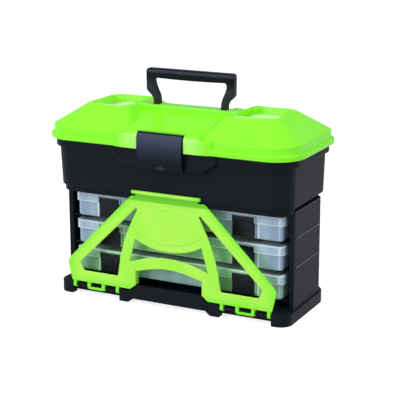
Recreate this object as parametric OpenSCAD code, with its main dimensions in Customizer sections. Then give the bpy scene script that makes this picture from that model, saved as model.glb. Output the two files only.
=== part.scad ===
// Tackle cabinet: a rack for three utility boxes under a lidded storage bin.
// Millimetres. X runs left to right, Y front to back (the gate faces -Y), Z up.
// The origin is on the floor, at the centre of the lid's width and depth.

/* [Lid] */
// Width of the lid, the widest part of the cabinet
lid_w = 400; // [392:1:430]
// Depth of the lid, without the latch boss and the hinge
lid_d = 187; // [184:1:210]
// Corner radius of the lid in plan
lid_corner_r = 44; // [38:1:50]
// Height of the lid from its rim to the crest of its pods
lid_h = 48; // [47:0.5:56]
// Height of the flange at the lid's rim
lid_flange_h = 7.5; // [5:0.5:9]
// Height of the step above the flange
lid_step_h = 12.5; // [10:0.5:14]
// Set-back of the step from the flange
lid_step_in = 4.5; // [3:0.5:6]
// Width of the crest of each pod
pod_crest_w = 72; // [66:1:80]
// Depth of the crest of each pod
pod_crest_d = 92; // [86:1:98]
// Distance from the centre line to the near end of a pod's crest
pod_near_x = 80; // [79:1:84]
// Depth of the open tray sunk into each pod
pod_tray_h = 13.5; // [8:0.5:15]
// Width of the ridge around the pod tray
pod_ridge = 8; // [6:0.5:10]
// Thickness of the lid's moulding
lid_wall = 3.5; // [2.5:0.5:4]

/* [Handle] */
// Overall width of the handle
handle_w = 142; // [136:1:146]
// Height of the handle's top above its pivot
handle_rise = 61.5; // [58:0.5:64]
// Thickness of the handle, front to back
handle_t = 14; // [12:0.5:15]
// Height of the grip bar
grip_h = 14.5; // [12:0.5:17]
// Width across the outside of the handle's feet
handle_foot_w = 118; // [114:1:120]
// Width of each foot of the handle
foot_w = 9; // [8:0.5:12]
// Radius of the studs that the handle turns on
handle_stud_r = 3; // [2:0.25:3.5]

/* [Storage bin] */
// Height of the storage bin
bin_h = 77.7; // [70:0.1:100]
// How far the bottom of the storage bin stands out past each side of the rack
bin_bottom_out = 1; // [0:0.5:2]
// Depth across the bottom of the storage bin
bin_bottom_d = 154; // [152:1:156]
// Wall of the storage bin
bin_wall = 3; // [2:0.5:4]
// Height of the rolled rim around the top of the bin
bin_rim_h = 12.2; // [9:0.1:16]

/* [Main latch] */
// Width of the main latch
latch_w = 72; // [60:1:80]
// Height of the main latch
latch_h = 52; // [48:1:53]
// Thickness of the main latch's skin
latch_t = 3; // [2.5:0.5:4]
// Radius of the latch's convex face
latch_face_r = 70; // [68:1:90]
// Width of the boss that the latch sits in
boss_w = 124; // [116:1:132]
// How far the boss stands out from the lid's flange
boss_out = 2.5; // [2:0.5:4]
// Radius of the latch pin and the lid hinge pins
pin_r = 1.5; // [1.2:0.1:1.8]

/* [Lid hinge] */
// Distance of each hinge from the centre line
hinge_x = 110; // [80:1:140]
// Outer radius of the hinge knuckles
knuckle_r = 5; // [4.5:0.1:5.2]
// Length of one hinge knuckle
knuckle_w = 8; // [6:0.5:14]

/* [Rack] */
// Room between a utility box and the rack's side wall
box_side_room = 12; // [11:0.5:12.5]
// Distance from the front pillars to the back wall's rear face
rack_d = 103; // [102:1:108]
// Front plane of the pillars, behind the lid's centre when positive
rack_front_y = -46; // [-48:0.5:-44]
// Wall of the rack
rack_wall = 3; // [2:0.5:4]
// Width of a front pillar
pillar_w = 8.5; // [6:0.5:10]
// Height of the first pair of runners above the floor
first_runner_z = 30; // [29:0.5:40]
// How far the runners reach in from the side walls
runner_w = 22; // [18:0.5:28]
// Thickness of a runner
runner_t = 3; // [2:0.5:4]
// Free height above each utility box
box_gap = 6.2; // [5:0.1:10]
// Free height above the top box
head_gap = 9; // [7.5:0.5:14]

/* [Plinth] */
// How far the plinth stands out past each side of the rack
plinth_out = 2.5; // [1.5:0.5:5]
// Front plane of the plinth
plinth_front_y = -75.5; // [-75.5:0.5:-75]
// Rear plane of the plinth
plinth_back_y = 76; // [70:1:84]
// Height of the plinth
plinth_h = 18; // [17:0.5:18.5]
// Height of the centre fascia between the gate's legs
fascia_h = 28; // [24:0.5:28.5]

/* [Front gate] */
// Thickness of the gate's sheet
gate_t = 2.5; // [2:0.5:3]
// Height of the hinge rods above the floor
rod_z = 14; // [13:0.5:14]
// Radius of the hinge rods
rod_r = 2.2; // [1.8:0.1:2.6]
// Outer radius of the clips around the rods
clip_r = 4.4; // [4.2:0.1:4.6]
// Width of one clip
clip_w = 5; // [4:0.5:7]
// Half width of the gate at its widest
gate_half_w = 170; // [166:1:174]
// Half width of the finger lip
lip_half_w = 55; // [50:1:58]
// Half width between the gate's legs
leg_gap_x = 54; // [50:1:56]

/* [Utility boxes] */
// Width of a box lid
box_w = 340; // [334:1:345]
// Depth of a box lid
box_d = 104; // [98:1:105]
// Height of a closed box
box_h = 36; // [34:0.5:42]
// Height of a box lid's skirt
box_lid_h = 13; // [10:0.5:15]
// Overhang of the box lid past the tray
box_overhang = 3; // [2.5:0.5:4]
// Wall of the tray and the box lid
box_wall = 1.6; // [1.2:0.1:2]
// Number of loose dividers in a box
divider_count = 4; // [2:1:6]
// Width of a box latch
box_latch_w = 34; // [26:1:44]
// Distance of the middle of each box latch from the end of its box
box_latch_in = 61; // [45:1:80]

/* [Clearances] */
// Gap between parts that rest on or slide along each other
seat_gap = 0.3; // [0.2:0.05:0.4]
// Radial gap between a pin and its bore
pin_gap = 0.05; // [0.02:0.01:0.1]
// Gap beside parts that swing
swing_gap = 0.5; // [0.4:0.1:0.8]

/* [Hidden] */
$fn = 48;
HULL_FN = 32;
EPS = 0.01;

LIME = "#9BFF3C";
BLACK = "#1E2129";
CLEAR = "#BFD2E0";
STEEL = "#B8BABD";

// Widths that follow from the boxes
rack_w = box_w + 2 * (box_side_room + rack_wall);
bin_bottom_w = rack_w + 2 * bin_bottom_out;
plinth_w = rack_w + 2 * plinth_out;

// Heights, from the floor up
box_pitch = box_h + seat_gap + box_gap;
rack_top_z = first_runner_z + 2 * box_pitch + seat_gap + box_h + head_gap;
bin_floor_z = rack_top_z + bin_wall;
bin_top_z = rack_top_z + bin_h;
lid_z = bin_top_z + seat_gap;
step_z = lid_z + lid_flange_h;
slope_z = step_z + lid_step_h;
crest_z = lid_z + lid_h;
pod_floor_z = crest_z - pod_tray_h;
function box_z(level) = first_runner_z + level * box_pitch + seat_gap;

// Rack and box planes, front to back
rack_back_y = rack_front_y + rack_d;
back_inner_y = rack_back_y - rack_wall;
box_back_gap = 2;
box_back_y = back_inner_y - box_back_gap;
box_front_y = box_back_y - box_d;
pillar_t = 6;
runner_edge_r = 1;

// Lid
lid_half_w = lid_w / 2;
lid_half_d = lid_d / 2;
lid_cavity_in = 11;
lid_cavity_taper = 26;
slope_in = 6.5;
slope_corner_r = lid_corner_r - slope_in;
pod_far_x = pod_near_x + pod_crest_w;
pod_corner_r = 12;
pod_foot_x = pod_near_x - (crest_z - slope_z);
slab_half_w = 76;
slab_front_z = slope_z + 4;
bar_front_y = -14;
bar_back_y = 8;
bar_top_z = crest_z - 0.5;
bar_foot_z = bar_top_z - 7;
shoulder_back_y = 18;
shoulder_x = pod_near_x + 4;
tray_end_slope = 14;

// Handle, turning on studs in the crown of the lid
handle_z = bar_top_z - 9.5;
handle_top_z = handle_z + handle_rise;
handle_half_w = handle_w / 2;
foot_out_x = handle_foot_w / 2;
foot_in_x = foot_out_x - foot_w;
upright_w = 12;
upright_h = 30.5;
upright_low_z = handle_top_z - upright_h;
joggle_drop = 11;
joggle_z = upright_low_z - joggle_drop;
grip_low_z = handle_top_z - grip_h;
stud_l = 4;
joggle_out = 2.5;
well_z = handle_z - handle_t / 2 - 1;
well_back_y = handle_rise + 4;
well_half_w = handle_half_w + 1.5;

// Latch boss and main latch
boss_front_y = -(lid_half_d + boss_out);
boss_blend_w = 16;
boss_top_z = slab_front_z;
latch_stand_off = 3.5;
latch_front_y = boss_front_y - latch_stand_off;
latch_axis_y = latch_front_y + latch_face_r;
latch_mid_z = lid_z - 1;
latch_top_z = latch_mid_z + latch_h / 2;
latch_bottom_z = latch_mid_z - latch_h / 2;
latch_pin_in = 5.5;
latch_pin_y = boss_front_y + latch_pin_in;
latch_pin_drop = 5;
latch_pin_z = latch_top_z - latch_pin_drop;
latch_barrel_r = 4;
notch_r = 7;
root_in = 5;
root_low = 2;
root_high = 3;
latch_pocket_y = latch_pin_y + latch_barrel_r + 1;
latch_pin_l = latch_w + 10;
bin_boss_in = 5.5;
bin_boss_front_y = boss_front_y + bin_boss_in;
bin_boss_z = latch_bottom_z;
catch_out = 1;
catch_up_h = 8;
catch_z = latch_bottom_z + catch_up_h;
catch_h = 2.5;
catch_side_in = 6;
hook_side_in = 4;
hook_low = 2;
hook_h = 3;
hook_in = 5.5;
hook_gap_y = 0.3;

// Storage bin
bin_wall_in = lid_cavity_in + 1.5;
bin_top_half_w = lid_half_w - bin_wall_in;
bin_top_half_d = lid_half_d - bin_wall_in;
bin_top_r = lid_corner_r - bin_wall_in;
// The boss reaches through the wall; the bin's hollow trims it
bin_boss_back_y = bin_wall + 2 - min(bin_bottom_d / 2, bin_top_half_d);
bin_bottom_r = 28;
bin_edge_r = 1.2;
strip_h = 6;
strip_in = 5;
rim_in = 7;
rim_t = 2.5;
rim_low_z = bin_top_z - bin_rim_h;
upstand_h = 3.5;

// Lid hinge
hinge_y = lid_half_d + 1;
hinge_z = lid_z - knuckle_r - 0.5;
hinge_side_gap = 0.5;
hinge_pin_l = 3 * knuckle_w + 2 * hinge_side_gap + 2;

// Rack details
rack_half_w = rack_w / 2;
wall_inner_x = rack_half_w - rack_wall;
header_front_y = -(bin_bottom_d / 2) + strip_in;
header_r = 24;
rack_corner_r = 12;
rack_split_y = rack_back_y - rack_corner_r;
bead_out = 1.2;
bead_h = 2.4;
bead_up = 6.5;
snap_r = 1.8;
stud_out = 1.5;
snap_x = 30;
snap_z = rack_top_z + 0.5;

// Plinth details
plinth_half_w = plinth_w / 2;
plinth_front_r = 18;
plinth_back_r = 30;
plinth_floor_z = plinth_h - rack_wall;
centre_clear_h = 6.3;
hinge_clear_h = 4;
lug_near_x = 67;
lug_far_x = 82;
lug_slope_w = 8.5;
gate_low_half_w = gate_half_w - 6.5;
clip_edge_gap = 4.5;
pocket_far_x = gate_low_half_w - 1;
pocket_back_y = -66.3;
pocket_wall = 2.5;
rod_y = -71;

// Front gate
gate_back_y = header_front_y - 0.3;
gate_front_y = gate_back_y - gate_t;
gate_bottom_z = rod_z + 6.3;
lip_h = 6;
lip_t = 4.7;
lip_gap = 0.6;
lip_back_y = -(bin_bottom_d / 2) - lip_gap;
lip_z = rack_top_z + strip_h + 0.5;
sheet_top_z = lip_z - 1.6;
gate_wide_z = 48;
gate_shoulder_z = 57;
gate_shoulder_x = gate_half_w - 4.5;
gate_arm_x = 58.8;
throat_half_w = 47;

clip_first_x = lug_far_x + 3.5;
clip_last_x = gate_low_half_w - clip_edge_gap;
clip_x = [for (i = [0:3]) clip_first_x + i * (clip_last_x - clip_first_x) / 3];
bar_between_h = 3.4;
flange_depth = 10;
clip_mouth = 3.6;
arch_spring_z = 49;
arch_rise = 9.5;
arch_top_spring_z = 62.3;
arch_top_rise = 13;
arch_top_x = 64;
leg_chamfer_x = 9.5;
leg_chamfer_h = 8;
oval_z = 124;
oval_half_w = 58;
oval_half_h = 27;
oval_rim = 12;
oval_proud = 1;
window_apex_x = 49.7;
window_apex_z = 145.3;
window_out_x = gate_half_w - 21;
window_out_z = 50.5;
window_low_x = window_out_x - 6;
window_low_z = 37.8;
window_in_x = leg_gap_x + 30;
window_bow = 6;
eye_top_x = 53.7;

// Utility boxes
box_half_w = box_w / 2;
box_corner_r = 10;
tray_half_w = box_half_w - box_overhang;
tray_corner_r = box_corner_r - box_overhang;
tray_front_y = box_front_y + box_overhang;
tray_back_y = box_back_y - box_overhang;
tray_h = box_h - box_wall - seat_gap;
tray_edge_r = 4;
divider_t = 1.2;
divider_gap = 0.3;
rib_w = 1;
rib_in = 2.4;
rib_side_gap = 0.2;
box_latch_x = box_half_w - box_latch_in;
cell_w = 2 * tray_half_w / (divider_count + 1);
function divider_x(i) = -tray_half_w + i * cell_w;
box_latch_t = 2.4;
box_latch_y = box_front_y - 1.5;
box_latch_up = 31;
box_latch_low = 3;
box_stud_r = 0.9;
box_stud_l = 1.2;
ear_t = 1.8;
ear_gap = 0.3;
catch_up = 8;

// ---------------------------------------------------------------- helpers

// Rounded rectangle in plan with one radius at the front and one at the back
module plan(half_w, y_front, y_back, r_front, r_back) {
    translate([-half_w, y_front + r_front])
        square([2 * half_w, y_back - y_front - r_front - r_back]);
    translate([-half_w + r_front, y_front])
        square([2 * (half_w - r_front), r_front + EPS]);
    translate([-half_w + r_back, y_back - r_back - EPS])
        square([2 * (half_w - r_back), r_back + EPS]);
    for (side = [-1, 1]) {
        translate([side * (half_w - r_front), y_front + r_front]) circle(r_front);
        translate([side * (half_w - r_back), y_back - r_back]) circle(r_back);
    }
}

// Slab with that plan between two heights
module slab(half_w, y_front, y_back, r_front, r_back, z_low, z_high) {
    translate([0, 0, z_low])
        linear_extrude(z_high - z_low)
            plan(half_w, y_front, y_back, r_front, r_back);
}

// Slab of the lid's own plan, set in from its edge
module lid_slab(inset, z_low, z_high) {
    r = max(lid_corner_r - inset, 2);
    slab(lid_half_w - inset, -lid_half_d + inset, lid_half_d - inset, r, r, z_low, z_high);
}

// Block from its lowest to its highest corner
module block(low, high) {
    translate(low) cube(high - low);
}

// Both sides of a shape drawn for +X
module both_sides() {
    children();
    mirror([1, 0, 0]) children();
}

// Rod along X, centred on a point
module rod_x(r, length, at) {
    translate(at) rotate([0, 90, 0]) cylinder(r = r, h = length, center = true);
}

// Prism along X from an outline drawn in Y and Z
module prism_x(half_length) {
    rotate([90, 0, 90]) linear_extrude(2 * half_length, center = true) children();
}

// Prism along Y from an outline drawn in X and Z
module prism_y(y_front, y_back) {
    translate([0, y_back, 0]) rotate([90, 0, 0]) linear_extrude(y_back - y_front) children();
}

// Points of an arc that bows by rise between two points; rise is to the left of a to b
function bow(a, b, rise, n = 12) = let (
    mid = (a + b) / 2, along = b - a, side = [-along[1], along[0]] / norm(along))
    [for (i = [0:n]) a + along * i / n + side * rise * sin(180 * i / n)];

// ---------------------------------------------------------------- lid

module pod_outer(side) {
    hull() {
        intersection() {
            lid_slab(slope_in, slope_z - 1, slope_z, $fn = HULL_FN);
            translate([side > 0 ? pod_foot_x : -lid_w, -lid_d, slope_z - 1])
                cube([lid_w - pod_foot_x, 2 * lid_d, 1]);
        }
        translate([side * (pod_near_x + pod_far_x) / 2, 0, 0])
            slab(pod_crest_w / 2, -pod_crest_d / 2, pod_crest_d / 2, pod_corner_r, pod_corner_r,
                 crest_z - 1, crest_z, $fn = HULL_FN);
    }
}

module pod_tray_cut() {
    near_x = pod_near_x + pod_ridge - 4;
    far_x = pod_far_x - 3;
    half_d = pod_crest_d / 2 - pod_ridge;
    translate([0, half_d, 0]) rotate([90, 0, 0]) linear_extrude(2 * half_d)
        polygon([[near_x, pod_floor_z], [far_x - tray_end_slope, pod_floor_z],
                 [far_x, crest_z + 1], [near_x, crest_z + 1]]);
}

module centre_slab() {
    prism_x(slab_half_w) polygon([
        [-lid_half_d + slope_in, slope_z - 1], [-lid_half_d + slope_in, slope_z],
        [bar_front_y, bar_foot_z], [bar_front_y, well_z + 1],
        [well_back_y, well_z + 1], [lid_half_d - slope_in, slope_z], [lid_half_d - slope_in, slope_z - 1]]);
    prism_x(boss_w / 2) polygon([
        [boss_front_y, slope_z - 4], [boss_front_y + 3, boss_top_z], [bar_front_y, bar_foot_z],
        [bar_front_y, slope_z - 4]]);
    block([-shoulder_x, bar_front_y, well_z - 2], [shoulder_x, shoulder_back_y, bar_top_z]);
}

module lid_boss() {
    translate([0, 0, lid_z]) linear_extrude(slope_z - 4 + EPS - lid_z) polygon([
        [-boss_w / 2 - boss_blend_w, -lid_half_d + EPS], [-boss_w / 2, boss_front_y],
        [boss_w / 2, boss_front_y], [boss_w / 2 + boss_blend_w, -lid_half_d + EPS],
        [boss_w / 2, -lid_half_d + lid_cavity_in], [-boss_w / 2, -lid_half_d + lid_cavity_in]]);
}

module handle_well() {
    both_sides() {
        block([foot_in_x - swing_gap, -handle_t / 2 - 1, well_z],
              [foot_out_x + swing_gap, shoulder_back_y + 1, crest_z + 1]);
        block([-EPS, bar_back_y, well_z],
              [foot_out_x + joggle_out + 2 * swing_gap, well_back_y, crest_z + 1]);
        block([-EPS, shoulder_back_y, well_z], [well_half_w, well_back_y, crest_z + 1]);
    }
}

module lid_cavity() {
    hull() {
        lid_slab(lid_cavity_in, lid_z - 1, lid_z, $fn = HULL_FN);
        lid_slab(lid_cavity_in + 3, slope_z - 4, slope_z - 3, $fn = HULL_FN);
        lid_slab(lid_cavity_in + lid_cavity_taper, well_z - lid_wall - 1, well_z - lid_wall, $fn = HULL_FN);
    }
}

module lid_knuckle() {
    difference() {
        union() {
            rod_x(knuckle_r, knuckle_w + 2 * EPS, [hinge_x, hinge_y, hinge_z]);
            block([hinge_x - knuckle_w / 2, hinge_y - 3, hinge_z],
                  [hinge_x + knuckle_w / 2, hinge_y + 2, step_z - 1]);
            block([hinge_x - knuckle_w / 2, lid_half_d - 3, lid_z + EPS],
                  [hinge_x + knuckle_w / 2, hinge_y + 2, step_z - 1]);
        }
        rod_x(pin_r + pin_gap, knuckle_w + 4, [hinge_x, hinge_y, hinge_z]);
    }
}

module lid_shell() {
    color(LIME) {
        difference() {
            union() {
                lid_slab(0, lid_z, step_z);
                lid_slab(lid_step_in, step_z - EPS, slope_z);
                centre_slab();
                lid_boss();
                for (side = [-1, 1]) pod_outer(side);
            }
            lid_cavity();
            both_sides() pod_tray_cut();
            handle_well();
            rod_x(handle_stud_r + pin_gap, 2 * (foot_in_x + 2), [0, 0, handle_z]);
            block([-latch_w / 2 - 1, boss_front_y - 10, lid_z - 1],
                  [latch_w / 2 + 1, latch_pocket_y, latch_top_z + 1]);
            rod_x(pin_r + pin_gap, latch_pin_l + 0.6, [0, latch_pin_y, latch_pin_z]);
        }
        both_sides() lid_knuckle();
    }
}

// ---------------------------------------------------------------- handle

module carry_handle() {
    corner = 5;
    color(BLACK) {
        prism_y(-handle_t / 2, handle_t / 2) {
            difference() {
                translate([-handle_half_w, grip_low_z])
                    square([handle_w, grip_h]);
                for (side = [-1, 1])
                    translate([side * handle_half_w, handle_top_z]) difference() {
                        square(2 * corner, center = true);
                        translate([-side * corner, -corner]) circle(corner);
                    }
            }
            for (side = [-1, 1]) scale([side, 1]) polygon([
                [handle_half_w, grip_low_z + 1], [handle_half_w, upright_low_z],
                [foot_out_x + joggle_out, upright_low_z - 7], [foot_out_x, joggle_z - 4],
                [foot_out_x, handle_z], [foot_in_x, handle_z], [foot_in_x, joggle_z + 4],
                [foot_in_x + 1.5, upright_low_z - 4],
                [handle_half_w - upright_w, grip_low_z - 4], [handle_half_w - upright_w, grip_low_z + 1]]);
        }
        for (side = [-1, 1]) {
            rod_x(handle_t / 2, foot_w, [side * (foot_in_x + foot_w / 2), 0, handle_z]);
            rod_x(handle_stud_r, stud_l, [side * (foot_in_x - stud_l / 2 + EPS), 0, handle_z]);
        }
    }
}

// ---------------------------------------------------------------- main latch

module main_latch() {
    color(BLACK) difference() {
        union() {
            prism_x(latch_w / 2) intersection() {
                difference() {
                    translate([latch_axis_y, latch_mid_z]) circle(latch_face_r, $fn = 180);
                    translate([latch_axis_y, latch_mid_z]) circle(latch_face_r - latch_t, $fn = 180);
                }
                translate([latch_front_y - 1, latch_bottom_z]) square([latch_face_r / 4, latch_h]);
            }
            rod_x(latch_barrel_r, latch_w, [0, latch_pin_y, latch_pin_z]);
            block([-latch_w / 2, latch_front_y + root_in, latch_pin_z - root_low],
                  [latch_w / 2, latch_pin_y, latch_pin_z + root_high]);
            block([-latch_w / 2 + hook_side_in, latch_front_y + hook_in, latch_bottom_z + hook_low],
                  [latch_w / 2 - hook_side_in, bin_boss_front_y - catch_out - hook_gap_y,
                   latch_bottom_z + hook_low + hook_h]);
        }
        rod_x(pin_r + pin_gap, latch_w + 2, [0, latch_pin_y, latch_pin_z]);
        translate([0, latch_front_y + latch_t, latch_bottom_z]) rotate([90, 0, 0])
            cylinder(r = notch_r, h = 2 * latch_t, center = true);
    }
}

module main_latch_pin() {
    color(STEEL) rod_x(pin_r, latch_pin_l, [0, latch_pin_y, latch_pin_z]);
}

// ---------------------------------------------------------------- storage bin

module bin_body(inset, z_low) {
    edge = inset > 0 ? 0 : bin_edge_r;
    top = inset > 0 ? 1 : 0;
    hull() {
        slab(bin_bottom_w / 2 - edge - inset, -bin_bottom_d / 2 + edge + inset,
             bin_bottom_d / 2 - edge - inset, bin_bottom_r - edge - inset,
             bin_bottom_r - edge - inset, z_low, z_low + 0.4, $fn = HULL_FN);
        slab(bin_bottom_w / 2 - inset, -bin_bottom_d / 2 + inset, bin_bottom_d / 2 - inset,
             bin_bottom_r - inset, bin_bottom_r - inset, z_low + edge, z_low + edge + 0.4,
             $fn = HULL_FN);
        slab(bin_top_half_w - inset, -bin_top_half_d + inset, bin_top_half_d - inset,
             bin_top_r - inset, bin_top_r - inset, bin_top_z + upstand_h - 0.5 + top,
             bin_top_z + upstand_h + top, $fn = HULL_FN);
    }
}

// Foot of the bin, which stands inside the rack's front strip
module bin_foot(inset, z_low, z_high) {
    slab(rack_half_w - strip_in - seat_gap - inset, header_front_y + rack_wall + seat_gap + inset,
         bin_bottom_d / 2 - strip_in - inset, header_r - rack_wall - inset, header_r - inset,
         z_low, z_high);
}

module bin_rim() {
    r = lid_corner_r - rim_in;
    difference() {
        slab(lid_half_w - rim_in, -lid_half_d + rim_in, lid_half_d - rim_in, r, r, rim_low_z, bin_top_z);
        slab(lid_half_w - rim_in - rim_t, -lid_half_d + rim_in + rim_t, lid_half_d - rim_in - rim_t,
             r - rim_t, r - rim_t, rim_low_z - 1, bin_top_z - rim_t);
        slab(bin_top_half_w - 1, -bin_top_half_d + 1, bin_top_half_d - 1, bin_top_r - 1, bin_top_r - 1,
             rim_low_z - 1, bin_top_z + 1);
    }
}

module bin_boss_outline(inset) {
    half = boss_w / 2 - inset;
    polygon([[-half - boss_blend_w - 5, bin_top_z - EPS], [-half - boss_blend_w - 5, rim_low_z],
             [-half, bin_boss_z + inset], [half, bin_boss_z + inset],
             [half + boss_blend_w + 5, rim_low_z], [half + boss_blend_w + 5, bin_top_z - EPS]]);
}

module bin_boss() {
    prism_y(bin_boss_front_y, bin_boss_back_y) bin_boss_outline(0);
    block([-latch_w / 2 + catch_side_in, bin_boss_front_y - catch_out, catch_z],
          [latch_w / 2 - catch_side_in, bin_boss_front_y + 1, catch_z + catch_h]);
}

module bin_knuckle(offset) {
    x = hinge_x + offset * (knuckle_w + hinge_side_gap);
    difference() {
        union() {
            rod_x(knuckle_r, knuckle_w, [x, hinge_y, hinge_z]);
            block([x - knuckle_w / 2, lid_half_d - rim_in - 1, hinge_z - knuckle_r],
                  [x + knuckle_w / 2, hinge_y, hinge_z + 2]);
        }
        rod_x(pin_r + pin_gap, knuckle_w + 2, [x, hinge_y, hinge_z]);
    }
}

module storage_bin() {
    color(BLACK) {
        difference() {
            union() {
                bin_body(0, rack_top_z + strip_h);
                bin_foot(0, rack_top_z, rack_top_z + strip_h + 1);
                bin_rim();
                bin_boss();
            }
            bin_body(bin_wall, rack_top_z + strip_h + bin_wall);
            bin_foot(bin_wall, bin_floor_z, rack_top_z + strip_h + bin_wall + 1);
            prism_y(bin_boss_front_y + bin_wall, bin_boss_back_y) bin_boss_outline(bin_wall);
        }
        both_sides() for (offset = [-1, 1]) bin_knuckle(offset);
    }
}

module lid_hinge_pin(side) {
    color(STEEL) rod_x(pin_r, hinge_pin_l, [side * hinge_x, hinge_y, hinge_z]);
}

// ---------------------------------------------------------------- rack and plinth

module plinth_frame() {
    difference() {
        slab(plinth_half_w, plinth_front_y, plinth_back_y, plinth_front_r, plinth_back_r, 0, plinth_h);
        slab(plinth_half_w - rack_wall, plinth_front_y + rack_wall, plinth_back_y - rack_wall,
             plinth_front_r - rack_wall, plinth_back_r - rack_wall, -1, plinth_floor_z);
        block([-lug_near_x, plinth_front_y - 1, -1],
              [lug_near_x, plinth_front_y + 2 * rack_wall, centre_clear_h]);
        both_sides()
            block([lug_far_x, plinth_front_y - 1, -1], [pocket_far_x, pocket_back_y, plinth_h + 1]);
    }
    both_sides() {
        // Wall behind the hinge pocket
        block([lug_far_x - pocket_wall, pocket_back_y, hinge_clear_h],
              [pocket_far_x + pocket_wall, pocket_back_y + pocket_wall, plinth_h]);
        // Foot block beside the corner, which holds the outer end of the rod
        block([pocket_far_x, plinth_front_y + 3, 0],
              [pocket_far_x + pocket_wall, pocket_back_y + pocket_wall, plinth_h]);
        // Lug with its sloped flank
        prism_y(plinth_front_y, pocket_back_y + pocket_wall) polygon([
            [lug_near_x, 0], [lug_far_x, 0], [lug_far_x, plinth_h], [lug_near_x - lug_slope_w, plinth_h],
            [lug_near_x - lug_slope_w, centre_clear_h]]);
        rod_x(rod_r, pocket_far_x - lug_far_x + 2 * pocket_wall,
              [(pocket_far_x + lug_far_x) / 2, rod_y, rod_z]);
    }
    // Fascia between the gate's legs
    prism_y(plinth_front_y, plinth_front_y + rack_wall) polygon([
        [-leg_gap_x - leg_chamfer_x + 1, plinth_h - 1], [leg_gap_x + leg_chamfer_x - 1, plinth_h - 1],
        [leg_gap_x + leg_chamfer_x - 1, plinth_h], [leg_gap_x - swing_gap, fascia_h - 1.5],
        [leg_gap_x - swing_gap - 1.5, fascia_h], [-leg_gap_x + swing_gap + 1.5, fascia_h],
        [-leg_gap_x + swing_gap, fascia_h - 1.5], [-leg_gap_x - leg_chamfer_x + 1, plinth_h]]);
}

module plinth() {
    color(BLACK) plinth_frame();
}

// Plan of the rack above the plinth: a channel with rounded rear corners
module rack_channel() {
    difference() {
        slab(rack_half_w, rack_front_y, rack_back_y, 2, rack_corner_r, plinth_h, rack_top_z);
        slab(wall_inner_x, rack_front_y - 2 * pillar_t, back_inner_y, 2, rack_corner_r - rack_wall,
             plinth_h - 1, rack_top_z + 1);
    }
}

// Side wall with its front pillar, its beads and the runners that the boxes stand on
module rack_side(side) {
    color(BLACK) mirror([side < 0 ? 1 : 0, 0, 0]) {
        intersection() {
            rack_channel();
            block([wall_inner_x - 1, rack_front_y - 1, 0], [plinth_w, rack_split_y, rack_top_z + 1]);
        }
        block([rack_half_w - pillar_w, rack_front_y, plinth_h],
              [rack_half_w - 2, rack_front_y + pillar_t, rack_top_z]);
        for (level = [0:2])
            block([wall_inner_x - runner_w, rack_front_y + 2, box_z(level) - seat_gap - runner_t],
                  [wall_inner_x + 1, rack_split_y, box_z(level) - seat_gap]);
        // Beads along the outside of the wall, level with each upper box
        for (level = [1:2])
            block([rack_half_w - 1, rack_front_y + 3, box_z(level) + bead_up - bead_h / 2],
                  [rack_half_w + bead_out, rack_split_y, box_z(level) + bead_up + bead_h / 2]);
    }
}

module rack_back() {
    color(BLACK) intersection() {
        rack_channel();
        block([-plinth_w, rack_split_y, 0], [plinth_w, rack_back_y + 1, rack_top_z + 1]);
    }
}

// Plate and strip across the front, which carry the bin's front and the gate's snap studs
module rack_header() {
    color(BLACK) {
        intersection() {
            difference() {
                slab(rack_half_w - 2, header_front_y, 0, header_r, 1,
                     rack_top_z - rack_wall, rack_top_z + strip_h - seat_gap);
                slab(rack_half_w - 2 - rack_wall, header_front_y + rack_wall, 1,
                     header_r - rack_wall, 1, rack_top_z, rack_top_z + strip_h + 1);
            }
            block([-plinth_w, header_front_y - 1, 0], [plinth_w, rack_front_y, crest_z]);
        }
        block([pillar_w - rack_half_w, rack_front_y - 1, rack_top_z - rack_wall],
              [rack_half_w - pillar_w, rack_front_y + pillar_t, rack_top_z]);
        both_sides() translate([snap_x, header_front_y + 1, snap_z]) rotate([90, 0, 0])
            cylinder(r = snap_r, h = 1 + header_front_y - gate_back_y + stud_out);
    }
}

// ---------------------------------------------------------------- front gate

module gate_outline() {
    half = concat(
        [[0, sheet_top_z], [throat_half_w, sheet_top_z], [throat_half_w, sheet_top_z - 2.5],
         [gate_arm_x - 1, sheet_top_z - 1.5], [gate_arm_x + 3, sheet_top_z - 4]],
        [[gate_shoulder_x, gate_shoulder_z], [gate_half_w - 1, gate_wide_z + 4],
         [gate_half_w, gate_wide_z], [gate_low_half_w, gate_bottom_z]],
        [[leg_gap_x + leg_chamfer_x, gate_bottom_z], [leg_gap_x, gate_bottom_z + leg_chamfer_h],
         [leg_gap_x, arch_spring_z]],
        [for (i = [1:8]) let (t = i / 8)
            [leg_gap_x * (1 - t), arch_spring_z + arch_rise * sin(90 * t)]]);
    polygon(half);
    mirror([1, 0]) polygon(half);
}

module window_outline() {
    polygon(concat(
        [[window_out_x, window_out_z], [window_apex_x + 1.5, window_apex_z]],
        bow([window_apex_x, window_apex_z - 2], [window_in_x, window_low_z], window_bow),
        [[window_low_x, window_low_z]]));
}

module eye_outline() {
    top = [for (i = [0:16]) let (x = eye_top_x * (1 - i / 8))
        [x, oval_z - (oval_half_h + oval_rim) * sqrt(1 - pow(x / (oval_half_w + oval_rim), 2))]];
    low = [for (i = [0:16]) let (x = -arch_top_x * (1 - i / 8))
        [x, arch_top_spring_z + arch_top_rise * (1 - pow(x / arch_top_x, 2))]];
    polygon(concat(top, low));
}

module gate_clip(x) {
    difference() {
        union() {
            rod_x(clip_r, clip_w, [x, rod_y, rod_z]);
            block([x - clip_w / 2, gate_front_y, rod_z + 1], [x + clip_w / 2, rod_y + 1, gate_bottom_z + 3]);
        }
        rod_x(rod_r + pin_gap, clip_w + 2, [x, rod_y, rod_z]);
        block([x - clip_w, rod_y, rod_z - clip_mouth / 2], [x + clip_w, rod_y + 8, rod_z + clip_mouth / 2]);
    }
}

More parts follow.
